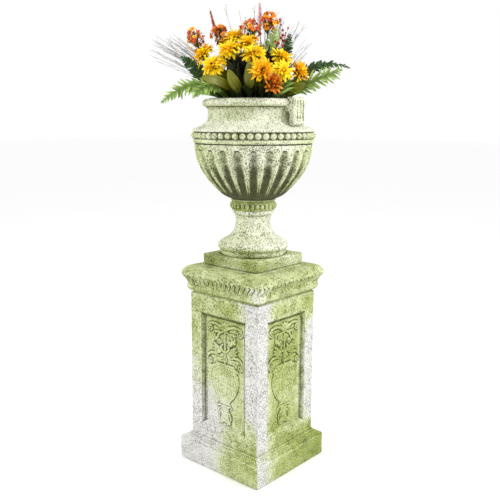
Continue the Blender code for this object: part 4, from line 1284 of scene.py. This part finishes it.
def plant(name, root, tip, dull, streaks=0.35, roughness=0.6, reach=(0.05, 0.75)):
    """A finish that runs from the root colour to the tip colour, and towards dull by shade."""
    made, shader, place = new_material(name, roughness)
    shader.inputs["Specular IOR Level"].default_value = 0.3
    along, across, shade = (place.named(value) for value in ("along", "across", "shade"))
    mottle = place.noise(260.0, 3.0, 0.6)
    ramp = (along + mottle * 0.3 - 0.15).step(*reach)
    body = ramp.between(root, tip)
    duller = (shade + mottle * 0.5 - 0.25).step(0.0, 1.0)
    streak = ((across * STREAKS).sine() * 0.5 + 0.5) * mottle * streaks
    wire(streak.between(duller.between(body, dull), root), shader, "Base Color")
    bump(mottle + across * across * 0.6, shader, 0.0005, 0.6)
    return made


petal_yellow = plant("petal_yellow", (244, 158, 0), (250, 228, 12), (250, 206, 0), 0.45,
                     reach=(-0.10, 0.5))
petal_deep = plant("petal_deep", (212, 98, 0), (250, 216, 10), (248, 180, 0), 0.5,
                   reach=(-0.05, 0.6))
petal_cup = plant("petal_brown_orange", (120, 34, 2), (250, 160, 14), (196, 92, 10),
                  reach=(0.2, 1.0))
flower_heart = plant("flower_heart", (44, 16, 6), (120, 52, 8), (214, 122, 14), 0.1, 0.9)
fern_light = plant("fern_light", (116, 146, 60), (180, 208, 112), (84, 114, 40))
fern_pale = plant("fern_pale", (166, 190, 104), (218, 232, 158), (140, 170, 86))
fern_dark = plant("fern_dark", (16, 34, 8), (36, 64, 18), (62, 98, 30))
leaf_olive = plant("leaf_olive", (42, 48, 4), (130, 130, 24), (28, 32, 4), 0.6, 0.4)
leaf_green = plant("leaf_green", (34, 56, 10), (92, 122, 30), (24, 38, 8), 0.4, 0.5)
# near-black leaves for deep inside the bouquet: their colour is painted shade
deep_shade_leaf = plant("deep_shade_leaf", (8, 12, 4), (26, 36, 10), (14, 22, 6), 0.2, 0.7)
stem_green = plant("stem_green", (28, 42, 12), (70, 92, 30), (40, 46, 18), 0.0)
grass_grey = plant("grass_grey", (78, 90, 60), (122, 126, 104), (62, 68, 50), 0.0, 0.7)
twig_tan = plant("twig_tan", (104, 88, 52), (160, 146, 92), (120, 84, 58), 0.0, 0.8)
blossom_flame = plant("blossom_flame", (222, 74, 6), (255, 200, 34), (190, 34, 24), 0.3,
                      reach=(-0.1, 0.7))
rust_bract = plant("rust_bract", (150, 74, 34), (212, 138, 84), (176, 86, 66), 0.2, 0.8)
pink_hair = plant("pink_hair", (206, 140, 152), (244, 216, 220), (226, 176, 186), 0.0, 0.8)
berry_skin = plant("berry_skin", (96, 6, 22), (176, 20, 44), (120, 22, 30), 0.0, 0.3)
print("finishes:", len(bpy.data.materials))

# %% [markdown]
# ## Sunflowers
#
# A head is four whorls of pointed petals round a domed heart, over a whorl of green sepals. One
# petal could be modelled and copied round, but real heads differ: some lie open and some are still
# cups. So each petal's rise is a sum of its whorl's, of how far the head is closed, and of chance.
# Florets stand on the dome in the spiral of sunflower seeds, where each is turned from the last by
# the golden angle.

# %% Whorls and hearts
GOLDEN_ANGLE = math.pi * (3.0 - math.sqrt(5.0))


def whorl(centre, axis, count, ring, length, width, rise, droop, draw):
    """Petals round an axis. Each starts a ring's radius out, leaves at an angle of rise above the
    flat of the flower, and bends down by droop before its tip."""
    first, second = square_pair(axis)
    turn = 2 * math.pi * (np.arange(count) + draw.uniform(-0.3, 0.3, count)) / count
    turn = (turn + draw.uniform(0.0, 6.3))[:, None]
    out = np.cos(turn) * first + np.sin(turn) * second
    t = np.linspace(0.0, 1.0, 8)
    lean = rise + draw.normal(0.0, 0.20, (count, 1))
    lean = lean - (droop + draw.normal(0.0, 0.45, (count, 1))) * t
    step = length * draw.uniform(0.72, 1.10, (count, 1)) * (t > 0) / (len(t) - 1)
    flat = (ring + np.cumsum(np.cos(lean) * step, axis=1))[..., None]
    high = np.cumsum(np.sin(lean) * step, axis=1)[..., None]
    sway = (draw.normal(0.0, 0.10, (count, 1)) * length * t * t)[..., None]
    path = centre + out[:, None] * flat + axis * high + np.cross(axis, out)[:, None] * sway
    face = axis + draw.normal(0.0, 0.25, (count, 1, 1)) * np.cross(axis, out)[:, None]
    wide = width * draw.uniform(0.85, 1.1, (count, 1)) * outline(t)
    return blade(path, face, wide, 0.0004, 0.22, draw.uniform(0.0, 1.0, count))


def heart(centre, axis, radius, count, draw):
    """Florets on a dome, each a small ball, placed by the golden angle."""
    first, second = square_pair(axis)
    number = np.arange(count)
    out = np.sqrt((number + 0.5) / count)[:, None]
    turn = (GOLDEN_ANGLE * number)[:, None]
    high = 0.42 * radius * (1.0 - out ** 2)
    place = centre + radius * out * (np.cos(turn) * first + np.sin(turn) * second) + high * axis
    size = radius / math.sqrt(count) * draw.uniform(0.8, 1.25, count)
    points = balls(place, np.broadcast_to(axis, place.shape), size, 4, 6)
    return lattice(points, along=draw.uniform(0, 1, (count, 1, 1)), shade=(out ** 3)[:, :, None])


print("golden angle:", round(math.degrees(GOLDEN_ANGLE), 1), "degrees")

# %% Sunflowers
SUNFLOWERS = [               # root (across, toward), head (across, toward, height), radius
    ((-0.088, 0.012), (-0.178, 0.030, 1.524), 0.040),
    ((-0.076, 0.062), (-0.142, 0.118, 1.480), 0.040),
    ((-0.046, 0.058), (-0.086, 0.106, 1.536), 0.038),
    ((-0.038, 0.002), (-0.074, 0.012, 1.584), 0.038),
    ((-0.014, 0.040), (-0.026, 0.062, 1.560), 0.038),
    ((0.004, 0.066), (-0.002, 0.114, 1.520), 0.038),
    ((0.026, 0.090), (0.028, 0.170, 1.458), 0.038),
    ((0.050, 0.030), (0.098, 0.058, 1.512), 0.040),
    ((0.084, 0.034), (0.156, 0.060, 1.464), 0.038),
    ((0.048, 0.104), (0.062, 0.196, 1.416), 0.036),
    ((0.068, 0.072), (0.100, 0.128, 1.462), 0.036),
    ((-0.040, -0.050), (-0.090, -0.110, 1.520), 0.040),
    ((0.040, -0.098), (0.060, -0.155, 1.480), 0.040),
]
CUPS = {7: 0.35, 9: 0.35, 10: 0.75}             # how far some heads are still closed
DARK_HEARTS = (7, 9)
BROWN_HEAD = 10
WHORLS = [                   # petals, height, ring, share of the length, rise, droop
    (24, 0.006, 0.009, 1.00, -0.05, 0.75),
    (26, 0.008, 0.009, 0.96, 0.30, 0.70),
    (22, 0.010, 0.008, 0.84, 0.62, 0.60),
    (16, 0.012, 0.007, 0.58, 0.95, 0.50),
]
FANNED_FROM = 1.37           # heads look away from here on the axis
NECK = 0.012                 # from the back of a head to its middle
PETAL_WIDE = 0.0050


for number, (root, head, radius) in enumerate(SUNFLOWERS, 1):
    draw = np.random.default_rng(100 + number)
    centre, start = spot(*head), spot(*root, STEM_START)
    axis = unit(centre - FANNED_FROM * UP)
    back = centre - NECK * axis
    cup = CUPS.get(number, 0.0) + draw.uniform(-0.05, 0.12)
    petals = petal_deep if cup > 0.3 else petal_yellow
    petals = petal_cup if number == BROWN_HEAD else petals
    stem = bezier(start, start + 0.03 * UP, back - 0.035 * axis, back, 14)
    bowl = back + np.array([-0.001, 0.002, 0.006, 0.010])[:, None] * axis
    parts = [(tube(stem, 0.0023, 7, 0.4), stem_green),
             (tube(bowl, np.array([0.003, 0.008, 0.0115, 0.0110]), 12, 0.6), stem_green),
             (whorl(back + 0.003 * axis, axis, 12, 0.007, 0.030, PETAL_WIDE, 0.25 + cup, 0.5,
                    draw), leaf_green)]
    size = 1.10 if number == BROWN_HEAD else 1.30
    for count, up, ring, share, rise, droop in WHORLS:
        length = share * (size * radius - ring)
        parts.append((whorl(back + up * axis, axis, count, ring, length, PETAL_WIDE,
                            rise + cup, droop * (1.0 - cup), draw), petals))
    wide = 0.016 if number in DARK_HEARTS else 0.0105
    parts.append((heart(back + 0.0125 * axis, axis, wide, 70, draw), flower_heart))
    make_piece(f"sunflower_{number:02d}_petals", parts, "arrangement",
               [f"sunflower_{number:02d}"])

# %% [markdown]
# ## Ferns
#
# A frond is a midrib with a pair of leaflets every few millimetres. An Array along a curve could
# repeat a pair, but could not make them shorter towards the tip. Leaflets lean towards the tip,
# droop a little, and are longest a quarter of the way from the first pair to the tip. All of a
# frond's leaflets are one array of blades.

# %% Ferns
FLAT, UPRIGHT = unit(0.75 * UP + 0.66 * TOWARD), unit(TOWARD + 0.15 * UP)
FERNS = [                    # root, bend, tip, half width, the way it faces, finish
    ((-0.108, 0.040), (-0.200, 0.060, 1.470), (-0.325, 0.075, 1.352), 0.040, FLAT, fern_light),
    ((-0.100, -0.020), (-0.180, -0.010, 1.450), (-0.262, -0.010, 1.520), 0.034, UPRIGHT,
     fern_dark),
    ((-0.082, 0.064), (-0.150, 0.140, 1.450), (-0.205, 0.175, 1.366), 0.032, FLAT, fern_light),
    ((0.040, -0.034), (0.050, -0.046, 1.520), (0.080, -0.054, 1.628), 0.042, UPRIGHT, fern_pale),
    ((0.086, -0.020), (0.105, -0.030, 1.500), (0.130, -0.040, 1.602), 0.034, UPRIGHT, fern_dark),
    ((0.104, -0.006), (0.200, 0.000, 1.540), (0.345, 0.000, 1.478), 0.032, FLAT, fern_dark),
    ((0.112, 0.034), (0.190, 0.075, 1.420), (0.305, 0.085, 1.470), 0.050, FLAT, fern_light),
    ((-0.030, -0.104), (-0.060, -0.200, 1.470), (-0.090, -0.300, 1.400), 0.030, FLAT, fern_light),
]
LEAFLET_PITCH, LEAFLET_WIDE = 0.0058, 0.0045
BARE = 0.30                  # share of the midrib that has no leaflets


def leaflets(path, width, face, first, draw):
    """Pairs of leaflets along a midrib, from the share first of its length to its tip. With t from
    0 to 1, a leaflet is its base plus its length times t outward and t t ahead and down."""
    ahead = unit(np.gradient(path, axis=0))
    reach = np.concatenate([[0.0], np.cumsum(np.linalg.norm(np.diff(path, axis=0), axis=1))])
    at = np.arange(first * reach[-1], 0.992 * reach[-1], LEAFLET_PITCH)
    at = np.repeat(at, 2)
    sign = np.tile([1.0, -1.0], len(at) // 2)[:, None]
    share = (at - at[0]) / (reach[-1] - at[0])
    base, way = (np.stack([np.interp(at, reach, line[:, i]) for i in range(3)], -1)
                 for line in (path, ahead))
    up = square_to(np.broadcast_to(face, way.shape), way)
    side = np.cross(up, way) * sign
    lean = draw.normal(0.42, 0.10, (len(at), 1))
    out = np.cos(lean) * side + np.sin(lean) * way + draw.normal(0.0, 0.22, (len(at), 1)) * up
    long = (width * outline(share, 0.25, 0.7) * draw.uniform(0.88, 1.06, len(at)))[:, None, None]
    t = np.linspace(0.0, 1.0, 6)[None, :, None]
    paths = base[:, None] + long * (t * out[:, None] + t * t * (0.16 * way - 0.16 * up)[:, None])
    wide = LEAFLET_WIDE * outline(t[0, :, 0], 0.2, 0.4) * (0.30 + 0.70 * long[..., 0] / width)
    return blade(paths, up[:, None], wide, 0.0003, 0.12, draw.uniform(0.0, 0.8, len(at)))


for number, (root, bend, tip, width, face, finish) in enumerate(FERNS, 1):
    draw = np.random.default_rng(200 + number)
    rib = rooted(root, bend, tip, 60)
    parts = [(tube(rib, np.linspace(0.0019, 0.0005, 60), 6, 0.7), stem_green),
             (leaflets(rib, width, face, BARE, draw), finish)]
    make_piece(f"fern_{number}_leaflets", parts, "arrangement",
               [f"fern_frond_{number}"])

# %% [markdown]
# ## Broad leaves and the leaf bed
#
# Five broad leaves stand among the flowers, each a blade folded along its rib. Between the stems,
# many small leaves hide the foam and the liner: dark ones deep inside, olive and green ones over
# them, and light narrow ones at the rim. A particle system could strew them, but the export needs
# plain meshes. So each kind is one array, scattered round the axis, and together they are one
# piece.

# %% Broad leaves
LEAVES = [                   # root, bend, tip, half width, finish
    ((-0.036, 0.104), (-0.070, 0.165, 1.400), (-0.084, 0.168, 1.462), 0.019, leaf_olive),
    ((-0.012, 0.106), (-0.020, 0.168, 1.420), (-0.014, 0.160, 1.492), 0.017, leaf_olive),
    ((-0.066, 0.096), (-0.100, 0.160, 1.430), (-0.178, 0.176, 1.432), 0.017, leaf_olive),
    ((0.090, 0.078), (0.130, 0.120, 1.390), (0.176, 0.130, 1.420), 0.018, leaf_olive),
    ((0.010, -0.108), (0.020, -0.190, 1.420), (0.040, -0.220, 1.470), 0.020, leaf_green),
]
LEAF_FACE = unit(TOWARD + 0.35 * UP)
BEHIND = 5                   # this leaf stands at the back and faces the other way


def leaf_blade(path, width, face, stalk, shade):
    """A leaf on its stalk: narrow up to the share stalk of its length, then an oval."""
    t = np.linspace(0.0, 1.0, path.shape[-2])
    oval = outline(np.clip((t - stalk) / (1 - stalk), 0.0, 1.0), 0.55, 0.6) * (t > stalk)
    wide = np.maximum(width * oval, 0.0012 * (1 - 0.6 * t))
    return blade(path, face, wide, 0.0005, 0.28, shade)


for number, (root, bend, tip, width, finish) in enumerate(LEAVES, 1):
    leaf_path = rooted(root, bend, tip, 34)
    facing = -LEAF_FACE if number == BEHIND else LEAF_FACE
    broad = leaf_blade(leaf_path, width, facing, 0.40, 0.3)
    make_piece(f"broad_leaf_{number}_blade", [(broad, finish)],
               "arrangement", [f"broad_leaf_{number}"])

# %% Leaf bed
BED = [                      # leaves, tips' radii and heights, half width, stalk, middle, spread
    # the near-black rows paint the shade deep among the stems
    ((190, 0.020, 0.125, 1.385, 1.470, 0.0125, 0.15, 0.00, 1.00), deep_shade_leaf),
    ((120, 0.010, 0.095, 1.440, 1.525, 0.0105, 0.35, 0.00, 1.00), deep_shade_leaf),
    ((70, 0.030, 0.110, 1.490, 1.560, 0.0105, 0.45, 0.00, 1.00), deep_shade_leaf),
    ((90, 0.100, 0.150, 1.392, 1.430, 0.0100, 0.15, 0.00, 1.00), deep_shade_leaf),
    ((64, 0.060, 0.160, 1.410, 1.480, 0.0125, 0.45, 0.00, 1.00), leaf_olive),
    ((46, 0.120, 0.185, 1.388, 1.430, 0.0095, 0.30, 0.00, 1.00), leaf_green),
    ((60, 0.130, 0.225, 1.384, 1.425, 0.0060, 0.30, -0.42, 0.22), fern_light),
    ((70, 0.130, 0.220, 1.384, 1.445, 0.0060, 0.30, 0.04, 0.16), fern_light),
    ((26, 0.100, 0.175, 1.440, 1.500, 0.0130, 0.55, -0.12, 0.34), leaf_olive),
]
LINER_INSIDE = 0.098         # roots of the leaves stay within this radius
draw = np.random.default_rng(300)


def bed(count, inner, outer, low, high, wide, stalk, middle, spread):
    """Leaves round the axis, within the share spread of a turn about the direction middle, also in
    turns. Roots stand in the foam; tips lie between two radii and two heights, and each leaf
    arches between."""
    turn = 2 * math.pi * (middle + spread * (np.arange(count) * 0.618 % 1.0 - 0.5))[:, None]
    way = np.concatenate([np.cos(turn), np.sin(turn), 0 * turn], -1)
    far = draw.uniform(inner, outer, (count, 1))
    tip = way * far + UP * draw.uniform(low, high, (count, 1))
    start = way * np.minimum(far * 0.6, LINER_INSIDE) + UP * (STEM_START + 0.001)
    start = start + draw.normal(0.0, 0.010, (count, 3)) * [1, 1, 0]
    mid = 0.5 * (start + tip) + UP * draw.uniform(0.015, 0.045, (count, 1))
    root = start + UP * 0.02
    path = bezier(start[:, None], root[:, None], mid[:, None], tip[:, None], 10)
    face = unit(UP + way * draw.uniform(-0.2, 1.4, (count, 1)) + draw.normal(0, 0.35, (count, 3)))
    return leaf_blade(path, wide, face[:, None], stalk, draw.uniform(0.0, 1.0, count))


make_piece("leaf_bed", [(bed(*row), finish) for row, finish in BED], "arrangement")

# %% [markdown]
# ## Grass and twigs
#
# Fine grass stands behind the flowers to the left and right. Blender's hair could grow it, but it
# doesn't follow wires to given places. So each strand of the CAD spray becomes a small tuft: curves
# from the same root to nearly the same tip. Twigs get short side shoots with a bud on each.

# %% Grass
GRASS_LEFT = [(-0.372, -0.010, 1.540), (-0.366, -0.030, 1.578), (-0.330, -0.040, 1.560),
              (-0.322, -0.055, 1.586), (-0.308, -0.070, 1.596), (-0.274, -0.080, 1.590),
              (-0.256, -0.100, 1.612)]
GRASS_RIGHT = [(0.046, -0.090, 1.696), (0.096, -0.095, 1.640), (0.112, -0.100, 1.664),
               (0.130, -0.105, 1.640), (0.156, -0.095, 1.628), (0.166, -0.085, 1.650),
               (0.210, -0.070, 1.572)]
STRAND_PITCH = 0.0045
SHORTER_TO = 1.42            # shorter strands end nearer to this height over the root


def strands(root, tips, copies, spread, draw):
    """Curves from a root to copies of each tip. The first copy ends at the tip itself, and the
    others end at random near it. The bend of each is worked out from both ends."""
    order = np.repeat(np.arange(len(tips)), copies)
    first = np.arange(len(order)) % copies == 0
    tip = np.array(tips)[order]
    start = np.array(root) + np.stack([STRAND_PITCH * (order - 0.5 * (len(tips) - 1)),
                                       0 * order], -1)
    inward = draw.uniform(0.0, 1.0, (len(order), 1)) * ~first[:, None]
    tip = tip + draw.normal(0.0, spread, tip.shape) * ~first[:, None]
    tip = tip + inward * 0.22 * (np.append(root, SHORTER_TO) - tip)
    bend = np.concatenate([0.45 * (start + tip[:, :2]), 0.55 * tip[:, 2:] + 0.62], -1)
    start = spot(*start.T, np.full(len(start), STEM_START)).T
    bend, tip = spot(*bend.T).T, spot(*tip.T).T
    return bezier(start[:, None], (start + 0.05 * UP)[:, None], bend[:, None], tip[:, None], 16)


def hairs(paths, count, first, long, draw):
    """Short straight shoots off curves, beyond the share first of their length."""
    which = draw.integers(0, len(paths), count)
    at = draw.integers(int(first * paths.shape[1]), paths.shape[1] - 1, count)
    base = paths[which, at]
    way = unit(paths[which, at + 1] - base)
    out = unit(draw.normal(0.0, 1.0, (count, 3)))
    end = base + long * draw.uniform(0.5, 1.0, (count, 1)) * unit(way + 0.45 * out)
    return straight(base, end, 3)


for name, root, tips in (("left", (-0.080, -0.055), GRASS_LEFT),
                         ("right", (0.055, -0.085), GRASS_RIGHT)):
    draw = np.random.default_rng(400 + len(name))
    blades_up = strands(root, tips, 7, 0.014, draw)
    fine = hairs(blades_up, 260, 0.5, 0.030, draw)
    thin = np.linspace(0.0009, 0.00035, 16)
    make_piece(f"grass_{name}_strands", [
        (blade(blades_up, TOWARD, thin, 0.0003, 0.1, draw.uniform(0, 1, len(blades_up))),
         grass_grey),
        (blade(fine, TOWARD, 0.0003, 0.0002, 0.0, 0.5), grass_grey)],
        "arrangement", [f"grass_spray_{name}"])

# %% Twigs
TWIGS = [(-0.108, -0.060, 1.692), (-0.054, -0.064, 1.682), (0.002, -0.070, 1.702)]
BUD = 0.0016

draw = np.random.default_rng(420)
twig_paths = strands((-0.010, -0.070), TWIGS, 2, 0.010, draw)
shoots = hairs(twig_paths, 26, 0.55, 0.040, draw)
buds = balls(shoots[:, -1], unit(shoots[:, -1] - shoots[:, 0]), np.full(len(shoots), BUD), 4, 6)
make_piece("twigs", [(tube(twig_paths, np.linspace(0.0016, 0.0006, 16), 5), twig_tan),
                     (tube(shoots, 0.0006, 4), twig_tan), (lattice(buds, along=0.5), twig_tan)],
           "arrangement", ["twig_spray"])

# %% [markdown]
# ## Sprays of small flowers
#
# The orange sprays, the rust spike and the pink plume share one plan: a stalk, then many small parts
# round a spindle. Each could be strewn by hand; a rule is quicker and looks as grown. In a spray the
# places are random, and on the spike and the plume each is turned from the last by the golden
# angle. The parts point away from the spindle's axis. A floret is five small petals, and the
# berries sit at the ends of side shoots.

# %% Orange sprays
BLOSSOMS = [                 # root, tip, spindle radius, spindle length
    ((-0.070, -0.012), (-0.222, -0.030, 1.612), 0.034, 0.090),
    ((-0.052, -0.022), (-0.128, -0.034, 1.626), 0.036, 0.062),
    ((-0.010, 0.000), (-0.012, -0.004, 1.640), 0.040, 0.072),
    ((0.014, -0.012), (0.056, -0.006, 1.668), 0.030, 0.062),
]


def stalked(root, tip, length):
    """The stalk of a spray, its foot, and the way from there to the tip of its spindle."""
    start, top = spot(*root, STEM_START), spot(*tip)
    way = unit(top - start + 0.10 * UP)
    foot = top - way * length
    return bezier(start, start + 0.04 * UP, foot - 0.05 * way, foot, 16), foot, way


def scattered(foot, way, length, radius, count, draw, low=0.0):
    """Random places in a spindle, the ways out of its axis there, and their nearest axis points.
    The spindle's radius follows a half sine along it."""
    first, second = square_pair(way)
    along, turn = draw.uniform(low, 1.0, (count, 1)), draw.uniform(0.0, 2 * math.pi, (count, 1))
    out = np.cos(turn) * first + np.sin(turn) * second
    swell = np.sin(math.pi * (0.12 + 0.80 * along)) ** 0.8
    centre = foot + way * length * along
    return centre + out * radius * swell * np.sqrt(draw.uniform(0.15, 1.0, (count, 1))), out, centre


def florets(places, axes, size, draw):
    """Five petals round each place, open towards its axis."""
    first, second = square_pair(axes)
    turn = 2 * math.pi * np.arange(5) / 5 + draw.uniform(0, 6.3, (len(places), 1))
    out = (np.cos(turn)[..., None] * first[:, None] + np.sin(turn)[..., None] * second[:, None])
    t = np.linspace(0.0, 1.0, 5)[:, None]
    size = draw.uniform(0.75, 1.2, (len(places), 1, 1, 1)) * size
    flat, high = 0.12 + t, 0.55 * t - 0.25 * t * t
    paths = places[:, None, None] + size * (flat * out[:, :, None] + high * axes[:, None, None])
    face = np.broadcast_to(axes[:, None, None], paths.shape).reshape(-1, 5, 3)
    wide = 0.36 * size[..., 0] * outline(t[:, 0], 0.5, 0.4)
    wide = np.broadcast_to(wide, paths.shape[:3]).reshape(-1, 5)
    shade = np.repeat(draw.uniform(0.0, 1.0, len(places)), 5)
    return blade(paths.reshape(-1, 5, 3), face, wide, 0.0003, 0.25, shade)


for number, (root, tip, radius, length) in enumerate(BLOSSOMS, 1):
    draw = np.random.default_rng(500 + number)
    stalk, foot, way = stalked(root, tip, length)
    place, out, centre = scattered(foot, way, length, radius, 80, draw)
    axes = unit(0.8 * out + 0.6 * way + draw.normal(0.0, 0.45, out.shape))
    joint = centre - 0.35 * length * way
    pedicels = straight(joint, place, 5)
    leaf_at, leaf_out, _ = scattered(foot - 0.3 * length * way, way, length, 0.5 * radius, 14, draw)
    leaf_end = leaf_at + 0.018 * unit(leaf_out + 0.8 * way)
    small_leaves = straight(leaf_at, leaf_end, 6)
    spine = foot + way * length * np.linspace(-0.2, 0.8, 8)[:, None]
    make_piece(f"blossoms_{number}", [
        (tube(stalk, 0.0017, 6), stem_green), (tube(spine, 0.0010, 5), stem_green),
        (tube(pedicels, 0.0005, 4), stem_green),
        (florets(place, axes, 0.0078, draw), blossom_flame),
        (blade(small_leaves, UP, 0.004 * outline(np.linspace(0, 1, 6)), 0.0003, 0.2), leaf_green)],
        "arrangement", [f"blossom_spray_{number}"])

# %% Spike and plume


def bristled(name, root, tip, radius, length, count, long, wide, finish, node, seed):
    """A stalk whose spindle is covered in small blades that point out and up."""
    draw = np.random.default_rng(seed)
    stalk, foot, way = stalked(root, tip, length)
    at = np.linspace(0.0, 0.96, count)[:, None]
    first, second = square_pair(way)
    turn = GOLDEN_ANGLE * np.arange(count)[:, None]
    out = np.cos(turn) * first + np.sin(turn) * second
    base = foot + way * length * at + out * 0.2 * radius
    taper = (1.0 - 0.85 * at) * draw.uniform(0.7, 1.2, (count, 1))
    end = base + unit(out * 0.8 + way + draw.normal(0, 0.25, out.shape)) * long * taper
    spine = foot + way * length * np.linspace(0.0, 1.0, 10)[:, None]
    make_piece(name, [(tube(stalk, 0.0016, 6), stem_green),
                      (tube(spine, np.linspace(0.0016, 0.0005, 10), 6), stem_green),
                      (blade(straight(base, end, 5), UP, wide * outline(np.linspace(0, 1, 5)), 0.0003, 0.2,
                             draw.uniform(0, 1, count)), finish)],
               "arrangement", [node])


bristled("rust_spike_bracts", (-0.050, -0.075), (-0.160, -0.075, 1.686), 0.008, 0.100, 200, 0.013,
         0.0026, rust_bract, "rust_spike", 601)
bristled("pink_plume_hairs", (0.030, -0.045), (0.020, -0.055, 1.710), 0.008, 0.090, 260, 0.020,
         0.0008, pink_hair, "pink_plume", 602)

# %% Berries
CLUSTER = 0.012              # length of the spindle at a sprig's end

draw = np.random.default_rng(603)
sprig, berries_at = [], []
for root, tip in (((0.050, -0.014), (0.095, -0.002, 1.632)),
                  ((0.060, -0.014), (0.112, -0.012, 1.606))):
    stalk, foot, way = stalked(root, tip, CLUSTER)
    sprig.append(tube(stalk, 0.0011, 5))
    side_shoots = hairs(stalk[None, 5:], 16, 0.2, 0.040, draw)
    sprig.append(tube(side_shoots, 0.0006, 4))
    berries_at.append(np.concatenate([side_shoots[:, -1], [foot + 0.5 * CLUSTER * way]]))
berries_at = np.concatenate(berries_at)
berry_size = draw.uniform(0.0030, 0.0052, len(berries_at))
berry_points = balls(berries_at, np.broadcast_to(UP, berries_at.shape), berry_size, 6, 9)
berries = lattice(berry_points, along=draw.uniform(0, 1, (len(berries_at), 1, 1)))
make_piece("berries", [(shoot, twig_tan) for shoot in sprig] + [(berries, berry_skin)],
           "arrangement", ["berry_sprig"])

# %% [markdown] ## The last step Every piece is in place.

# %% Finish


print("materials:", len(bpy.data.materials), "and meshes:", len(bpy.data.meshes))
